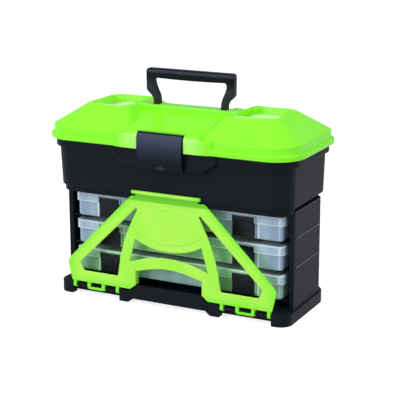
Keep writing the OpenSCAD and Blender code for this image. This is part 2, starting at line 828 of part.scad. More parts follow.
module front_gate() {
    color(LIME) {
        difference() {
            union() {
                prism_y(gate_front_y, gate_back_y) difference() {
                    gate_outline();
                    for (side = [-1, 1]) scale([side, 1]) window_outline();
                    eye_outline();
                }
                prism_y(gate_front_y - oval_proud, gate_front_y + EPS)
                    polygon([for (a = [0:7.5:352.5]) [oval_half_w * cos(a), oval_z + oval_half_h * sin(a)]]);
                // Throat and finger lip, which lean out past the bin's front
                prism_x(lip_half_w) polygon([
                    [gate_front_y, lip_z - 9], [gate_back_y, lip_z - 9], [gate_back_y, lip_z - 5.3],
                    [gate_back_y - 1.7, lip_z - 3], [lip_back_y, lip_z - 0.8],
                    [lip_back_y, lip_z + lip_h - 0.6], [lip_back_y - 0.6, lip_z + lip_h],
                    [lip_back_y - lip_t + 1.8, lip_z + lip_h],
                    [lip_back_y - lip_t + 0.5, lip_z + lip_h - 0.8],
                    [lip_back_y - lip_t, lip_z + lip_h - 2.2], [lip_back_y - lip_t, lip_z + 2],
                    [lip_back_y - lip_t + 1, lip_z + 0.4], [lip_back_y - 1.8, lip_z - 0.6],
                    [gate_front_y - 2.4, lip_z - 2.2], [gate_front_y - 0.8, lip_z - 5]]);
            }
            // Sockets for the snap studs on the rack's header
            both_sides() translate([snap_x, gate_back_y + 1, snap_z]) rotate([90, 0, 0])
                cylinder(r = snap_r + seat_gap, h = 1 + stud_out + seat_gap);
        }
        both_sides() {
            // Return flange on the inside of each leg
            block([leg_gap_x, gate_front_y, gate_bottom_z + leg_chamfer_h],
                  [leg_gap_x + gate_t, gate_front_y + flange_depth, arch_spring_z]);
            for (x = clip_x) gate_clip(x);
            // Bar that joins the two middle clips
            block([clip_x[1], rod_y - clip_r, rod_z - 3.9],
                  [clip_x[2], rod_y - rod_r - 0.6, rod_z - 3.9 + bar_between_h]);
        }
    }
}

// ---------------------------------------------------------------- utility boxes

module tray_shell(inset, z_low, z_high) {
    r = max(tray_corner_r - inset, 1);
    slab(tray_half_w - inset, tray_front_y + inset, tray_back_y - inset, r, r, z_low, z_high);
}

// Pairs of ribs that hold the ends of each divider
module tray_ribs(z) {
    reach = box_wall + rib_in;
    for (i = [1:divider_count], side = [-1, 1]) {
        x = divider_x(i) + side * (divider_t / 2 + rib_side_gap + rib_w / 2);
        block([x - rib_w / 2, tray_front_y + 1, z + 1], [x + rib_w / 2, tray_front_y + reach, z + tray_h - 6]);
        block([x - rib_w / 2, tray_back_y - reach, z + 1], [x + rib_w / 2, tray_back_y - 1, z + tray_h - 6]);
    }
}

module box_tray(level) {
    z = box_z(level);
    color(CLEAR, 0.5) tray_ribs(z);
    color(CLEAR, 0.5) difference() {
        union() {
            tray_shell(tray_edge_r / 2, z, z + tray_edge_r);
            tray_shell(0, z + tray_edge_r / 2, z + tray_h);
            // Catches for the two latches
            both_sides() block([box_latch_x - box_latch_w / 2 + 3, tray_front_y - 1.8, z + catch_up],
                               [box_latch_x + box_latch_w / 2 - 3, tray_front_y + 1, z + catch_up + 1.5]);
        }
        tray_shell(box_wall + tray_edge_r / 2, z + box_wall, z + tray_edge_r);
        tray_shell(box_wall, z + tray_edge_r - EPS, z + tray_h + 1);
    }
}

module box_lid(level) {
    z = box_z(level);
    r = box_corner_r;
    pivot_z = z + box_latch_up;
    ear_x = box_latch_w / 2 + ear_gap;
    color(CLEAR, 0.5) difference() {
        union() {
            slab(box_half_w, box_front_y, box_back_y, r, r, z + box_h - box_lid_h, z + box_h);
            // Ears that carry the latch studs
            both_sides() for (side = [-1, 1])
                block([box_latch_x + side * (ear_x + ear_t / 2) - ear_t / 2, box_latch_y - 1.2,
                       z + box_h - box_lid_h + 1],
                      [box_latch_x + side * (ear_x + ear_t / 2) + ear_t / 2, box_front_y + 1,
                       pivot_z + 2]);
        }
        slab(box_half_w - box_wall, box_front_y + box_wall, box_back_y - box_wall, r - box_wall,
             r - box_wall, z + box_h - box_lid_h - 1, z + box_h - box_wall);
        both_sides() rod_x(box_stud_r + pin_gap, box_latch_w + 2 * box_stud_l + 1,
                           [box_latch_x, box_latch_y, pivot_z]);
    }
}

module box_latch(level, side) {
    z = box_z(level);
    pivot = [side * box_latch_x, box_latch_y, z + box_latch_up];
    hook_y = tray_front_y - 0.7;
    color(BLACK) {
        block([pivot[0] - box_latch_w / 2, box_latch_y - box_latch_t / 2, z + box_latch_low],
              [pivot[0] + box_latch_w / 2, box_latch_y + box_latch_t / 2, pivot[2]]);
        rod_x(box_latch_t / 2, box_latch_w, pivot);
        rod_x(box_stud_r, box_latch_w + 2 * box_stud_l, pivot);
        block([pivot[0] - box_latch_w / 2 + 4, box_latch_y, z + catch_up - 2.5],
              [pivot[0] + box_latch_w / 2 - 4, hook_y, z + catch_up - seat_gap]);
    }
}

module box_dividers(level) {
    z = box_z(level);
    edge = box_wall + divider_gap;
    low_edge = edge + tray_edge_r / 2;
    color(CLEAR, 0.5) for (i = [1:divider_count]) {
        x = divider_x(i);
        block([x - divider_t / 2, tray_front_y + low_edge, z + box_wall + seat_gap],
              [x + divider_t / 2, tray_back_y - low_edge, z + tray_edge_r + 1]);
        block([x - divider_t / 2, tray_front_y + edge, z + tray_edge_r + seat_gap],
              [x + divider_t / 2, tray_back_y - edge, z + tray_h - 4]);
    }
}

// ---------------------------------------------------------------- assembly

plinth();
rack_side(-1);  // rack_side_left
rack_side(1);  // rack_side_right
rack_back();
rack_header();
storage_bin();
lid_shell();
lid_hinge_pin(-1);  // lid_hinge_pin_left
lid_hinge_pin(1);  // lid_hinge_pin_right
main_latch();
main_latch_pin();
carry_handle();
front_gate();
box_tray(2);  // top_box_tray
box_lid(2);  // top_box_lid
box_dividers(2);  // top_box_dividers
box_latch(2, -1);  // top_box_latch_left
box_latch(2, 1);  // top_box_latch_right
box_tray(1);  // middle_box_tray
box_lid(1);  // middle_box_lid
box_dividers(1);  // middle_box_dividers
box_latch(1, -1);  // middle_box_latch_left
box_latch(1, 1);  // middle_box_latch_right
box_tray(0);  // bottom_box_tray
box_lid(0);  // bottom_box_lid
box_dividers(0);  // bottom_box_dividers
box_latch(0, -1);  // bottom_box_latch_left
box_latch(0, 1);  // bottom_box_latch_right
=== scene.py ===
# %% [markdown]
# # A tackle cabinet
# The CAD part gives every size and every joint. This lesson dresses it: each cell makes one
# piece of the cabinet with Blender's own modelling tools, and hangs it on the CAD body that
# it moves with.

# %% Load the frame
from contextlib import contextmanager
from math import cos, pi, radians, sin, sqrt

import bmesh
import bpy
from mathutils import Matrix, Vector


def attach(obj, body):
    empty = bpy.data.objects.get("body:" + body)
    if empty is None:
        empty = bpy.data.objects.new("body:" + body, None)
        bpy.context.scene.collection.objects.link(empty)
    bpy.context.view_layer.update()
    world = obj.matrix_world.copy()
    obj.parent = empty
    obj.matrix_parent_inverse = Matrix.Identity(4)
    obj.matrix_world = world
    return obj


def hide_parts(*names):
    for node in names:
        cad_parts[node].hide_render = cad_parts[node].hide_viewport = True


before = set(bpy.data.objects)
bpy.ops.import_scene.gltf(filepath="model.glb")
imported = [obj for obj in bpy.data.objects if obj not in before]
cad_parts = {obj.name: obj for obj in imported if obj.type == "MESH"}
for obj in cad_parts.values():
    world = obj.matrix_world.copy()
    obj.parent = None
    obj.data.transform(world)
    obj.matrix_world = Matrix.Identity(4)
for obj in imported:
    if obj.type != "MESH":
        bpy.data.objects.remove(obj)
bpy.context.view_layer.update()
MM = 0.001

# %% [markdown]
# ## Camera, floor and light
# The camera stands where the photograph was taken: a long lens, a little to the right and
# above. It comes first, so that each new piece can be judged in the picture. The lens is
# shifted slightly because the photograph is cropped off-centre.

# %% Camera
EYE = Vector((0.82024, -1.57976, 0.61931))
LOOK_AT = Vector((0.03874, 0.0, 0.16285))
FOCAL, SENSOR = 112.44, 36
PHOTO_PX, CROP_X_PX, CROP_Y_PX = 400, -15.16, -8.51
camera = bpy.data.objects.new("camera", bpy.data.cameras.new("camera"))
bpy.context.scene.collection.objects.link(camera)
camera.location = EYE
camera.rotation_euler = (LOOK_AT - EYE).to_track_quat("-Z", "Y").to_euler()
camera.data.lens = FOCAL
camera.data.sensor_width = SENSOR
camera.data.shift_x, camera.data.shift_y = CROP_X_PX / PHOTO_PX, CROP_Y_PX / PHOTO_PX
bpy.context.scene.camera = camera
print("camera", round((LOOK_AT - EYE).length, 2), "m away")

# %% [markdown]
# Shader maths reads better as Python. `Maths` wraps one socket, and its operators add Math
# nodes, so `1 - mask * 0.5` builds the same little tree that would be wired by hand.


# %% A small language for shader maths
class Maths:
    """A socket that can be added, multiplied and compared."""

    def __init__(self, sheet, socket):
        self.sheet, self.socket = sheet, socket

    def _with(self, operation, *values):
        return self.sheet.node("ShaderNodeMath", {"operation": operation}, dict(enumerate(values)))

    def __add__(self, other):
        return self._with("ADD", self, other)

    def __sub__(self, other):
        return self._with("SUBTRACT", self, other)

    def __rsub__(self, other):
        return self._with("SUBTRACT", other, self)

    def __mul__(self, other):
        return self._with("MULTIPLY", self, other)

    def power(self, other):
        return self._with("POWER", self, other)

    def within(self, other):
        """What is left after taking away whole steps of that size."""
        return self._with("FLOORED_MODULO", self, other)

    def size(self):
        return self._with("ABSOLUTE", self)

    def larger(self, other):
        return self._with("MAXIMUM", self, other)

    def ramp(self, start, end):
        """0 below start and 1 above end, with a smooth rise between."""
        return self.sheet.node("ShaderNodeMapRange", {"interpolation_type": "SMOOTHSTEP"},
                               {0: self, 1: start, 2: end, 3: 0.0, 4: 1.0})

    def line(self, at, half, blur):
        """1 along a line at that value, fading out over the blur."""
        return 1 - (self - at).size().ramp(half, half + blur)


class Sheet:
    """The node tree of one material, or of the world."""

    def __init__(self, name, kind="materials"):
        self.owner = getattr(bpy.data, kind).new(name)
        self.owner.use_nodes = True
        self.tree = self.owner.node_tree
        self.tree.nodes.clear()
        self.place = self.node("ShaderNodeTexCoord", {}, {}, "Object")

    def node(self, kind, settings, inputs, output=0):
        made = self.tree.nodes.new(kind)
        for key, value in settings.items():
            setattr(made, key, value)
        for key, value in inputs.items():
            if isinstance(value, Maths):
                self.tree.links.new(value.socket, made.inputs[key])
            else:
                made.inputs[key].default_value = value
        return None if output is None else Maths(self, made.outputs[output])

    def noise(self, scale, detail=2.0, roughness=0.5):
        return self.node("ShaderNodeTexNoise", {},
                         {"Vector": self.place, "Scale": scale, "Detail": detail,
                          "Roughness": roughness}, "Fac")

    def along(self, axis):
        """The place along X, Y or Z in millimetres."""
        return self.node("ShaderNodeSeparateXYZ", {}, {0: self.place}, "XYZ".index(axis)) * 1000.0

    def mix(self, factor, first, second):
        return self.node("ShaderNodeMix", {"data_type": "RGBA"},
                         {0: factor, 6: first, 7: second}, 2)

    def finish(self, shader, end="ShaderNodeOutputMaterial"):
        self.node(end, {}, {"Surface": shader}, None)
        return self.owner

    def plastic(self, tint, roughness, grain, strength, more, depth=0.0003):
        """The finished material: a tint and a roughness, with a fine grain as its bump."""
        bump = self.node("ShaderNodeBump", {}, {
            "Strength": strength, "Distance": depth, "Height": grain})
        return self.finish(self.node("ShaderNodeBsdfPrincipled", {}, {
            "Base Color": tint, "Roughness": roughness, "Normal": bump, **more}))


# %% [markdown]
# The photograph's ground is plain white. The floor is an ordinary pale surface that adds
# some light of its own for the camera only, so it looks white but still takes a soft shadow.


# %% Floor and world
def pale_floor():
    sheet = Sheet("pale_floor")
    path = sheet.tree.nodes.new("ShaderNodeLightPath")
    seen = (Maths(sheet, path.outputs["Is Camera Ray"]) + Maths(sheet, path.outputs["Is Glossy Ray"])
            + Maths(sheet, path.outputs["Is Transmission Ray"]))
    lit = sheet.node("ShaderNodeBsdfDiffuse", {}, {"Color": (0.50, 0.50, 0.51, 1)})
    glow = sheet.node("ShaderNodeEmission", {}, {"Color": (1, 1, 1, 1), "Strength": 0.80})
    both = sheet.node("ShaderNodeAddShader", {}, {0: lit, 1: glow})
    return sheet.finish(sheet.node("ShaderNodeMixShader", {}, {0: seen, 1: lit, 2: both}))


def studio():
    """A soft bluish room for the light, and plain white for the camera."""
    air = Sheet("studio", "worlds")
    seen = air.node("ShaderNodeLightPath", {}, {}, "Is Camera Ray")
    room = air.node("ShaderNodeBackground", {}, {"Color": (0.90, 0.95, 1.0, 1), "Strength": 0.50})
    white = air.node("ShaderNodeBackground", {}, {"Color": (1, 1, 1, 1), "Strength": 1.0})
    return air.finish(air.node("ShaderNodeMixShader", {}, {0: seen, 1: room, 2: white}),
                      "ShaderNodeOutputWorld")


bpy.ops.mesh.primitive_plane_add(size=12, location=(0, 0, 0))
floor = bpy.context.object
floor.name = "floor"
floor.data.materials.append(pale_floor())

bpy.context.scene.world = studio()
bpy.context.scene.view_settings.view_transform = "Standard"
print("floor and world", floor.name, bpy.context.scene.world.name)

# %% [markdown]
# Three softboxes light the cabinet: a wide one overhead, the main one at the front left, and
# a weak one that keeps the right side from going flat.


# %% Softboxes
def softbox(name, at, towards, size, watts):
    lamp = bpy.data.lights.new(name, "AREA")
    lamp.shape, lamp.size, lamp.size_y, lamp.energy = "RECTANGLE", size[0], size[1], watts
    box = bpy.data.objects.new(name, lamp)
    bpy.context.scene.collection.objects.link(box)
    box.location = at
    box.rotation_euler = (Vector(towards) - Vector(at)).to_track_quat("-Z", "Y").to_euler()
    print("softbox", name, watts, "W")


softbox("overhead", (0.1, -0.5, 1.9), (0, 0, 0.2), (1.8, 1.2), 15)
softbox("front_left", (-1.0, -2.1, 1.0), (0, 0, 0.15), (1.2, 1.2), 25)
softbox("right_side", (1.9, -0.4, 0.9), (0, 0, 0.15), (1.0, 1.4), 9)

# %% [markdown]
# ## Working by hand in code
# Every piece starts as a primitive that is shaped in edit mode. `pick` selects what the next
# operator acts on, by its place in millimetres and its direction, just as a click would.


# %% Selecting
def only(piece):
    bpy.ops.object.select_all(action="DESELECT")
    piece.select_set(True)
    bpy.context.view_layer.objects.active = piece


@contextmanager
def editing(piece):
    only(piece)
    bpy.ops.object.mode_set(mode="EDIT")
    bpy.ops.mesh.select_all(action="DESELECT")
    yield
    bpy.ops.object.mode_set(mode="OBJECT")


def pick(kind, test):
    """Selects the edges or faces whose centre (mm) and direction pass the test."""
    bpy.ops.mesh.select_mode(type=kind)
    bpy.ops.mesh.select_all(action="DESELECT")
    data = bpy.context.object.data
    shape = bmesh.from_edit_mesh(data)
    if kind == "FACE":
        for face in shape.faces:
            if test(face.calc_center_median() / MM, face.normal):
                face.select_set(True)
    else:
        for edge in shape.edges:
            first, last = (v.co for v in edge.verts)
            if test((first + last) / 2 / MM, (last - first).normalized()):
                edge.select_set(True)
    bmesh.update_edit_mesh(data)


def pick_top():
    """Selects the faces that look up."""
    pick("FACE", lambda middle, normal: normal.z > 0.9)


def upright(way):
    return abs(way.z) > 0.95


def level(way):
    return abs(way.z) < 0.1


def sideways(way):
    return abs(way.x) > 0.9


def inwards(way):
    return abs(way.y) > 0.9


# %% [markdown]
# These are the edit-mode steps that come back in most pieces, in millimetres.


# %% Shaping
def bevel(width, segments=3):
    bpy.ops.mesh.bevel(offset=width * MM, segments=segments, profile=0.5, affect="EDGES",
                       clamp_overlap=False)


def round_off(piece, width, segments, test):
    """Bevels those edges of a piece that pass the test."""
    with editing(piece):
        pick("EDGE", test)
        bevel(width, segments)


def inset(width):
    bpy.ops.mesh.inset(thickness=width * MM)


def pull_up(height):
    bpy.ops.mesh.extrude_region_move(TRANSFORM_OT_translate={"value": (0, 0, height * MM)})


def nudge(x, y, z):
    bpy.ops.transform.translate(value=(x * MM, y * MM, z * MM))


def widen(from_x, to_x, from_y, to_y):
    """Scales what is picked about its middle, from one width and depth to another."""
    bpy.ops.transform.resize(value=(to_x / from_x, to_y / from_y, 1))


def settle(piece):
    """Makes a piece's place, turn and size part of its mesh."""
    only(piece)
    bpy.ops.object.transform_apply(location=True, rotation=True, scale=True)
    return piece


def copied(piece, name):
    twin = piece.copy()
    twin.data = piece.data.copy()
    twin.name = name
    bpy.context.scene.collection.objects.link(twin)
    return twin


def mirrored(piece):
    """A second copy across the cabinet's centre plane."""
    twin = copied(piece, piece.name + "_twin")
    twin.scale.x = -1
    settle(twin)
    with editing(twin):
        bpy.ops.mesh.select_all(action="SELECT")
        bpy.ops.mesh.normals_make_consistent(inside=False)
    return twin


def moved(piece, name, shift):
    """A copy of a piece, with its own mesh, moved by so many millimetres."""
    twin = copied(piece, name)
    twin.location = Vector(shift) * MM
    return settle(twin)


# %% [markdown]
# Every primitive is a block, a slab with round corners, an outline drawn out along an axis,
# or a round bar along X or Y. A shell is a slab that a wall can be taken off.


# %% Primitives
def block(name, low, high):
    centre = [(a + b) / 2 * MM for a, b in zip(low, high)]
    size = [abs(b - a) * MM for a, b in zip(low, high)]
    bpy.ops.mesh.primitive_cube_add(size=1, location=centre, scale=size)
    piece = bpy.context.object
    piece.name = name
    return settle(piece)


def side_block(name, side, x_span, y_span, z_span):
    """A block on the left (side -1) or right (1), between two distances from the middle."""
    low, high = sorted(side * x for x in x_span)
    return block(name, (low, y_span[0], z_span[0]), (high, y_span[1], z_span[1]))


def slab(name, half_x, front, back, low, high, front_r, back_r, arcs=10):
    """A block with rounded upright edges."""
    piece = block(name, (-half_x, front, low), (half_x, back, high))
    with editing(piece):
        pick("EDGE", lambda m, w: upright(w) and m.y < (front + back) / 2)
        bevel(front_r, arcs)
        pick("EDGE", lambda m, w: upright(w) and m.y > back - 1)
        bevel(back_r, arcs)
    return piece


def shell(name, size, wall, low, high, arcs=10):
    """A slab of size (half x, half y, corner radius), made smaller all round by a wall."""
    x, y, corner = (value - wall for value in size)
    return slab(name, x, -y, y, low, high, corner, corner, arcs)


def mirror_line(points):
    """A half outline followed by its mirror image."""
    return points + [(-x, z) for x, z in points[::-1] if abs(x) > 0.01]


def profile(name, points, along, low, high):
    """A flat outline, given as points across the axis `along`, drawn out from low to high."""
    bpy.ops.mesh.primitive_circle_add(vertices=len(points), radius=1, fill_type="NGON")
    piece = bpy.context.object
    piece.name = name
    at = "XYZ".index(along)
    for vertex, point in zip(piece.data.vertices, points):
        vertex.co = Vector((*point[:at], low, *point[at:])) * MM
    reach = [0, 0, 0]
    reach[at] = (high - low) * MM
    with editing(piece):
        bpy.ops.mesh.select_all(action="SELECT")
        bpy.ops.mesh.extrude_region_move(TRANSFORM_OT_translate={"value": reach})
        bpy.ops.mesh.select_all(action="SELECT")
        bpy.ops.mesh.normals_make_consistent(inside=False)
    return piece


def rod(name, radius, low, high, at, sides=32):
    """A round bar along X at (y, z)."""
    bpy.ops.mesh.primitive_cylinder_add(
        vertices=sides, radius=radius * MM, depth=(high - low) * MM,
        location=((low + high) / 2 * MM, at[0] * MM, at[1] * MM), rotation=(0, radians(90), 0))
    piece = bpy.context.object
    piece.name = name
    return settle(piece)


def rod_inwards(name, radius, length, centre, sides=32):
    """A round bar along Y."""
    piece = rod(name, radius, -length / 2, length / 2, (0, 0), sides)
    piece.rotation_euler.z = radians(90)
    piece.location = Vector(centre) * MM
    return settle(piece)


# %% [markdown]
# Blocks become a moulding by fusing and cutting. The last steps are the same for each piece:
# soft edges, smooth shading, a finish, and the CAD body that it rides on.


# %% Fusing, cutting and finishing
def apply(piece, kind, **settings):
    only(piece)
    modifier = piece.modifiers.new(kind.lower(), kind)
    for key, value in settings.items():
        setattr(modifier, key, value)
    bpy.ops.object.modifier_apply(modifier=modifier.name)


def combine(operation, piece, others):
    for other in others:
        apply(piece, "BOOLEAN", object=other, operation=operation, solver="EXACT")
        bpy.data.objects.remove(other)


def weld(piece, *others):
    combine("UNION", piece, others)


def cut(piece, *others):
    combine("DIFFERENCE", piece, others)


def join(piece, *others):
    """Puts separate shells in one object without cutting them."""
    only(piece)
    for other in others:
        other.select_set(True)
    bpy.ops.object.join()
    return piece


def soften(piece, width, segments, angle, clamp=True):
    """Rounds every edge sharper than the angle."""
    apply(piece, "BEVEL", width=width * MM, segments=segments, limit_method="ANGLE",
          angle_limit=radians(angle), use_clamp_overlap=clamp, miter_outer="MITER_ARC")


def smooth(piece, angle=35):
    only(piece)
    bpy.ops.object.shade_smooth_by_angle(angle=radians(angle))
    apply(piece, "WEIGHTED_NORMAL", keep_sharp=True, weight=50)


def hang(piece, body, slot, material, *nodes):
    piece.data.materials.clear()
    piece.data.materials.append(material)
    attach(piece, body)
    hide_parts(*nodes)
    only(piece)
    print(piece.name, len(piece.data.polygons), "faces")


# %% [markdown]
# ## Finishes
# Moulded plastic is nearly one colour, but never quite: it has a faint grain from the mould
# and slightly uneven gloss. Each finish is a Principled shader with a little noise.


# %% Moulded plastics
UNEVEN = 0.06


def moulded(name, colour, lighter, gloss, grain_scale, strength, more):
    sheet = Sheet(name)
    cloud = sheet.noise(14.0, 3.0)
    tint = sheet.mix(cloud, (*colour, 1), (*lighter, 1))
    return sheet.plastic(tint, cloud * UNEVEN + (gloss - UNEVEN / 2),
                         sheet.noise(grain_scale, 2.0, 0.6), strength, more)


BLACK, BLACK_LIGHTER, BLACK_IOR = (0.0078, 0.0100, 0.0142), (0.0098, 0.0124, 0.0175), 1.13
black_plastic = moulded("black_plastic", BLACK, BLACK_LIGHTER, 0.44, 1400, 0.10, {"IOR": BLACK_IOR})
black_gloss = moulded("black_gloss", (0.0080, 0.0098, 0.0140), (0.0100, 0.0122, 0.0175), 0.30, 1800,
                      0.05, {"IOR": 1.22})
pin_steel = moulded("pin_steel", (0.50, 0.51, 0.53), (0.58, 0.59, 0.61), 0.28, 2600, 0.05,
                    {"Metallic": 1.0})
print("plastics", black_plastic.name, black_gloss.name, pin_steel.name)

# %% [markdown]
# The lid's tray walls are painted a deeper green, as painted shade. The trays' floors and
# their front rims are painted nearly white, a painted reflection of the pale room; the boss
# behind the latch gets a painted highlight, a little paler. The finish finds them by their place
# in millimetres. The gate is thin and lets light through, so it is paler; its sloping edges and
# outer sides get painted shade in a deeper green, and its throat under the lip a darker one.


# %% Lime finishes
LIME_GLOSS = {"Specular IOR Level": 0.35}


def lid_finish():
    sheet = Sheet("lime_plastic")
    x, y, z = sheet.along("X").size(), sheet.along("Y"), sheet.along("Z")
    cloud = sheet.noise(14.0, 3.0)
    in_tray = x.ramp(83.0, 86.0) * (1 - x.ramp(134.0, 149.0)) * (1 - y.size().ramp(36.5, 39.0))
    tray_floor_reflection = in_tray * z.ramp(271.2, 272.0) * (1 - z.ramp(273.2, 277.0))
    tray_wall_shade = in_tray * z.ramp(273.2, 277.0) * (1 - z.ramp(281.0, 285.5))
    rim = x.ramp(83.0, 94.0) * (1 - x.ramp(108.0, 136.0))
    rim = rim * y.line(-40.0, 3.0, 5.0) * z.ramp(282.5, 285.0)
    boss = (0 - y).ramp(93.6, 95.6) * (1 - x.ramp(48.0, 76.0))
    tint = sheet.mix(cloud, (0.235, 0.93, 0.010, 1), (0.265, 0.96, 0.015, 1))
    # Painted shade: the trays' walls are a deeper green.
    tint = sheet.mix(tray_wall_shade * 0.8, tint, (0.215, 0.74, 0.002, 1))
    # Painted reflection: the trays' floors and front rims are painted nearly white, as the pale room
    # reflected.
    tint = sheet.mix((tray_floor_reflection * 0.9).larger(rim * 0.5), tint, (0.70, 0.97, 0.50, 1))
    # Painted highlight: the boss's front face is painted paler, fading out towards its sides.
    tint = sheet.mix(boss * 0.6, tint, (0.52, 0.98, 0.22, 1))
    return sheet.plastic(tint, cloud * UNEVEN + 0.33, sheet.noise(900.0, 2.0, 0.6), 0.04, LIME_GLOSS)


def gate_finish():
    sheet = Sheet("gate_plastic")
    x, y, z = sheet.along("X").size(), sheet.along("Y"), sheet.along("Z")
    cloud = sheet.noise(14.0, 3.0)
    throat = z.ramp(155.5, 158.0) * (1 - z.ramp(167.6, 168.8)) * (1 - (0 - y).ramp(80.5, 82.0))
    tint = sheet.mix(cloud, (0.44, 0.965, 0.070, 1), (0.48, 0.985, 0.092, 1))
    slant = x * 0.7088 + z * 0.7054
    rim = slant.ramp(148.0, 158.5).larger(x.ramp(146.0, 171.0)).larger(1 - z.ramp(17.0, 34.0))
    patch = sheet.noise(24.0, 2.0).ramp(0.42, 0.66)
    # Painted shade: a deeper green along the outer sloping edges, the outer sides and the bottom edge;
    # the noise adds random deeper patches of the plastic's own tone.
    tint = sheet.mix(rim * 0.75 + patch * 0.25, tint, (0.20, 0.95, 0.014, 1))
    # Painted shade: the throat under the lip is painted a darker green.
    tint = sheet.mix(throat * 0.9, tint, (0.13, 0.66, 0.003, 1))
    return sheet.plastic(tint, cloud * UNEVEN + 0.33, sheet.noise(900.0, 2.0, 0.6), 0.04, LIME_GLOSS)


lime_plastic, gate_plastic = lid_finish(), gate_finish()
print("finishes", lime_plastic.name, gate_plastic.name)

# %% [markdown]
# The latch has a smoother face than the bin; a bluish sheen towards its top is painted into its colour as
# a painted reflection, with painted shade along its edges and a painted highlight in the thumb notch.
# The handle's colour carries painted light: a painted glint along the grip's upper front edge, the grip
# darker as painted shade, and the legs paler where the light falls on them.


# %% Latch and handle finishes
def latch_finish():
    sheet = Sheet("latch_painted_light")
    x, z = sheet.along("X"), sheet.along("Z")
    rise = z.ramp(216.0, 262.0)
    cloud = sheet.noise(30.0, 2.0)
    edge = z.ramp(261.2, 262.2).larger(x.size().ramp(34.4, 35.6))
    thumb = (x * x + (z - 209.5) * (z - 209.5)).power(0.5)
    # Painted reflection: a bluish sheen rises towards the top of the flap.
    tint = sheet.mix(rise * 0.9 + cloud * 0.1, (0.0040, 0.0056, 0.0090, 1), (0.041, 0.057, 0.100, 1))
    # Painted shade: the top edge and the side edges are painted nearly black.
    tint = sheet.mix(edge * 0.92, tint, (0.002, 0.003, 0.004, 1))
    # Painted highlight: a paler half-moon in the thumb notch.
    tint = sheet.mix((1 - thumb.ramp(7.2, 7.6)) * 0.5, tint, (0.06, 0.07, 0.09, 1))
    return sheet.plastic(tint, cloud * 0.08 + 0.28, sheet.noise(1500.0), 0.04, {"IOR": 1.15})


def handle_finish():
    sheet = Sheet("handle_painted_light")
    z = sheet.along("Z")
    cloud = sheet.noise(22.0, 2.0)
    painted_glint = z.line(334.0, 0.6, 2.6)
    # Painted light: the legs are paler where the light falls on them, and the grip darker as shade.
    tint = sheet.mix(1 - z.ramp(312.0, 327.0), (0.0045, 0.0060, 0.0075, 1), (0.026, 0.030, 0.038, 1))
    # Painted highlight: a glint along the grip's upper front edge.
    tint = sheet.mix(painted_glint * 0.75 + cloud * 0.08, tint, (0.052, 0.055, 0.082, 1))
    return sheet.plastic(tint, cloud * 0.08 + 0.28, sheet.noise(1800.0), 0.05, {"IOR": BLACK_IOR})


latch_painted_light, handle_painted_light = latch_finish(), handle_finish()
print("finishes", latch_painted_light.name, handle_painted_light.name)

# %% [markdown]
# The boxes are milky, thin polypropylene. A thin wall lets about half the light through, and
# every fold or edge is denser, so it is more opaque and looks brighter; the whiter colour along
# the edges and the strips beside the latches and corners is a painted highlight. The finish works
# out the height inside a box from the boxes' even spacing, and makes the lid's skirt and its two
# edges denser. The green light that the gate throws on the middle of the boxes is painted into
# their colour and opacity, softly, and the boxes' tops get painted shade where the bin and the
# box above keep the light away.


# %% Box finish
BOX_BASE = {"bottom": 30.3, "middle": 72.8, "top": 115.3}


def box_finish():
    sheet = Sheet("clear_plastic")
    x, y, z = sheet.along("X").size(), sheet.along("Y"), sheet.along("Z")
    front = (0 - y).ramp(47.6, 48.6)
    height = (z - BOX_BASE["bottom"]).within(BOX_BASE["middle"] - BOX_BASE["bottom"])
    skirt = height.ramp(22.4, 23.0)
    edges = height.line(23.7, 0.5, 0.5).larger(height.line(35.3, 0.5, 0.6)).larger(
        height.line(1.2, 0.6, 1.6) * 0.35)
    cloud = sheet.noise(9.0, 3.0)
    # Strips beside the latches and along the lid's rounded corners: denser, and given a painted
    # highlight.
    ribs = front * (x.line(130.4, 1.4, 0.6) * (1 - skirt)).larger(x.line(163.6, 0.7, 2.2) * 0.7)
    dense_and_highlit = edges.larger(ribs)
    streak = sheet.node("ShaderNodeTexNoise", {"noise_dimensions": "1D"},
                        {"W": x * 0.034 + 3.0, "Scale": 1.0, "Detail": 1.0}, "Fac").ramp(0.36, 0.66)
    # Painted light: the green that the gate throws on the middle of the boxes, in their colour and
    # opacity.
    in_arch = (1 - z.ramp(46.0, 60.0)) * (1 - x.ramp(48.0, 62.0))
    glow = (1 - (x + z).ramp(165.0, 252.0)) * (1 - in_arch * 0.6)
    shade = height.ramp(34.6, 35.0) * (1 - (0 - y).ramp(46.8, 47.6)) * (1 - x.ramp(163.0, 164.5))
    thick = skirt * 0.3 + cloud * 0.3 + streak * 0.35
    milk = sheet.mix(thick, (0.46, 0.66, 0.93, 1), (0.68, 0.84, 0.97, 1))
    green = sheet.mix(glow * 0.9, milk, (0.42, 0.93, 0.38, 1))
    # Painted highlight: the whiter colour along the edges and strips; their extra opacity is the denser
    # material.
    tint = sheet.mix(dense_and_highlit * 0.75, green, (0.90, 0.98, 0.98, 1))
    tint = sheet.mix(shade * 0.6, tint, (0.10, 0.17, 0.16, 1))
    cover = skirt * 0.06 + dense_and_highlit * 0.30 + streak * 0.10 + glow * 0.14 + 0.46
    return sheet.plastic(tint, cloud * 0.10 + 0.16, sheet.noise(260.0, 3.0), 0.05,
                         {"Alpha": cover, "Specular IOR Level": 0.45}, depth=0.0004)


clear_plastic = box_finish()
print("finish", clear_plastic.name)

# %% [markdown]
# ## The lid
# The lid is one green moulding: a flange, a step above it, and two hipped pods with an open
# tray in each. A slope between the pods rises to a raised bar, and the handle folds down
# into a well behind it. It could be sculpted from one grid, but its planes are so clear that
# separate blocks, each with its own rounded edges, fuse into a crisper shape.

